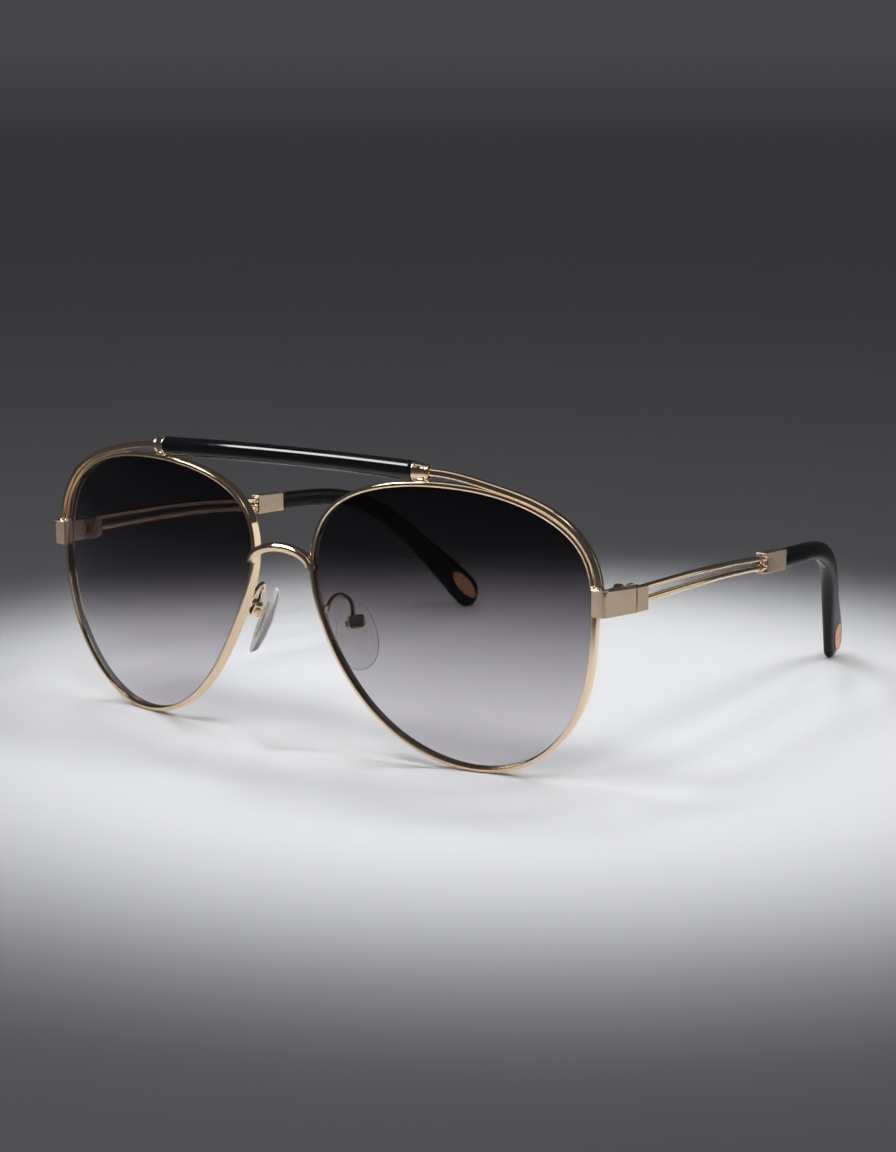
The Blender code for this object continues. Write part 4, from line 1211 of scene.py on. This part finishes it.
def make_floor():
    corners = [(x * FLOOR_REACH, y * FLOOR_REACH, 0) for x, y in ((-1, -1), (1, -1), (1, 1), (-1, 1))]
    data = bpy.data.meshes.new("table")
    data.from_pydata(corners, [], [(0, 1, 2, 3)])
    data.materials.append(floor_look())
    table = bpy.data.objects.new("table", data)
    bpy.context.scene.collection.objects.link(table)


def lamp(name, place, target, size, power, spread=math.pi, only_reflected=False):
    """A soft lamp that lights surfaces and isn't reflected, or a card that is only reflected."""
    data = bpy.data.lights.new(name, "AREA")
    data.shape = "RECTANGLE" if only_reflected else "ELLIPSE"
    data.size, data.size_y = size
    data.energy = power
    data.spread = spread
    obj = bpy.data.objects.new(name, data)
    bpy.context.scene.collection.objects.link(obj)
    obj.location = place
    obj.rotation_mode = "QUATERNION"
    obj.rotation_quaternion = (Vector(target) - Vector(place)).to_track_quat("-Z", "Y")
    obj.visible_diffuse = not only_reflected
    obj.visible_glossy = only_reflected
    obj.visible_camera = False


def make_backdrop():
    """A dark room, a little paler just above the horizon."""
    world = bpy.data.worlds.new("studio")
    world.use_nodes = True
    tree = world.node_tree
    place = tree.nodes.new("ShaderNodeTexCoord")
    split = tree.nodes.new("ShaderNodeSeparateXYZ")
    tones = tree.nodes.new("ShaderNodeValToRGB")
    set_stops(tones, BACKDROP)
    tree.links.new(place.outputs["Generated"], split.inputs[0])
    tree.links.new(split.outputs["Z"], tones.inputs["Fac"])
    tree.links.new(tones.outputs["Color"], tree.nodes["Background"].inputs["Color"])
    bpy.context.scene.world = world


def make_lights():
    """Narrow lamps in a ring make one soft-edged pool of light; the cards give the metal its highlights."""
    level, height = math.sin(LAMP_TILT), math.cos(LAMP_TILT)
    for k in range(LAMP_COUNT):
        turn = 2 * math.pi * k / LAMP_COUNT
        place = POOL + LAMP_DISTANCE * Vector((-level * math.cos(turn), level * math.sin(turn), height))
        lamp(f"lamp_{k}", place, POOL, (POOL_WIDTH, POOL_WIDTH * height), LAMP_POWER, spread=LAMP_SPREAD)
    lamp("fill", FILL_PLACE, FILL_AIM, FILL_SIZE, FILL_POWER)
    for name, (place, target, size, power) in CARDS.items():
        lamp(name, place, target, size, power, only_reflected=True)


def make_camera():
    data = bpy.data.cameras.new("camera")
    data.lens = FOCAL_LENGTH
    data.clip_start, data.clip_end = 0.01, 50.0
    camera = bpy.data.objects.new("camera", data)
    bpy.context.scene.collection.objects.link(camera)
    camera.location = (Vector(CAMERA_PLACE) - Vector((0, FOOTPRINT_MIDDLE_Y, 0))) * MM
    sight = Vector((-math.sin(CAMERA_AZIMUTH), math.cos(CAMERA_AZIMUTH), -math.tan(CAMERA_ELEVATION)))
    camera.rotation_mode = "QUATERNION"
    camera.rotation_quaternion = sight.to_track_quat("-Z", "Y")
    bpy.context.scene.camera = camera
    bpy.context.scene.view_settings.view_transform = "Standard"


# The scene

POLISHED = polished_gold()
# Each finish's material, and the slot of the part it stands for
LOOKS = {
    "polished": (POLISHED, "polished_gold"),
    "box": (POLISHED, "satin_gold"),
    "satin": (satin_gold("brushed_gold", (1.0, 1.0, 0.05), 1.0), "satin_gold"),
    # The ferrule's copy has its tones scaled to 0.56: painted shade on the same brushed plating.
    "ferrule": (satin_gold("brushed_gold_painted_shade", (1.0, 1.0, 0.05), 0.56), "satin_gold"),
    "screw": (screw_gold(), "screw_gold"),
    "bar": (black_acetate("black_gloss", 0.045, 1.5), "black_acetate"),
    "tip": (black_acetate("black_tip", 0.16, 1.22), "black_acetate"),
    "lens": (gradient_lens(), "gradient_lens"),
    "silicone": (clear_silicone(), "clear_silicone"),
    "insert": (clear_insert(), "amber_plastic"),
    "copper": (copper_oval(), "copper_oval"),
}

make_brow_bar()
make_bridge()
for each_side in SIDES:
    for make in (
        make_rim, make_lens, make_collar, make_brow_wire, make_end_piece, make_lock_screw, make_hinge,
        make_temple_block, make_temple_wires, make_ferrule, make_tip, make_medallion, make_pad_arm,
        make_pad_box, make_pad_insert, make_nose_pad,
    ):
        make(each_side)
for hidden_core in ("brow_core", "tip_core_left", "tip_core_right"):
    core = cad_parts[hidden_core]
    core.data.materials.clear()
    core.data.materials.append(LOOKS["screw"][0])
make_floor()
make_lights()
make_backdrop()
make_camera()
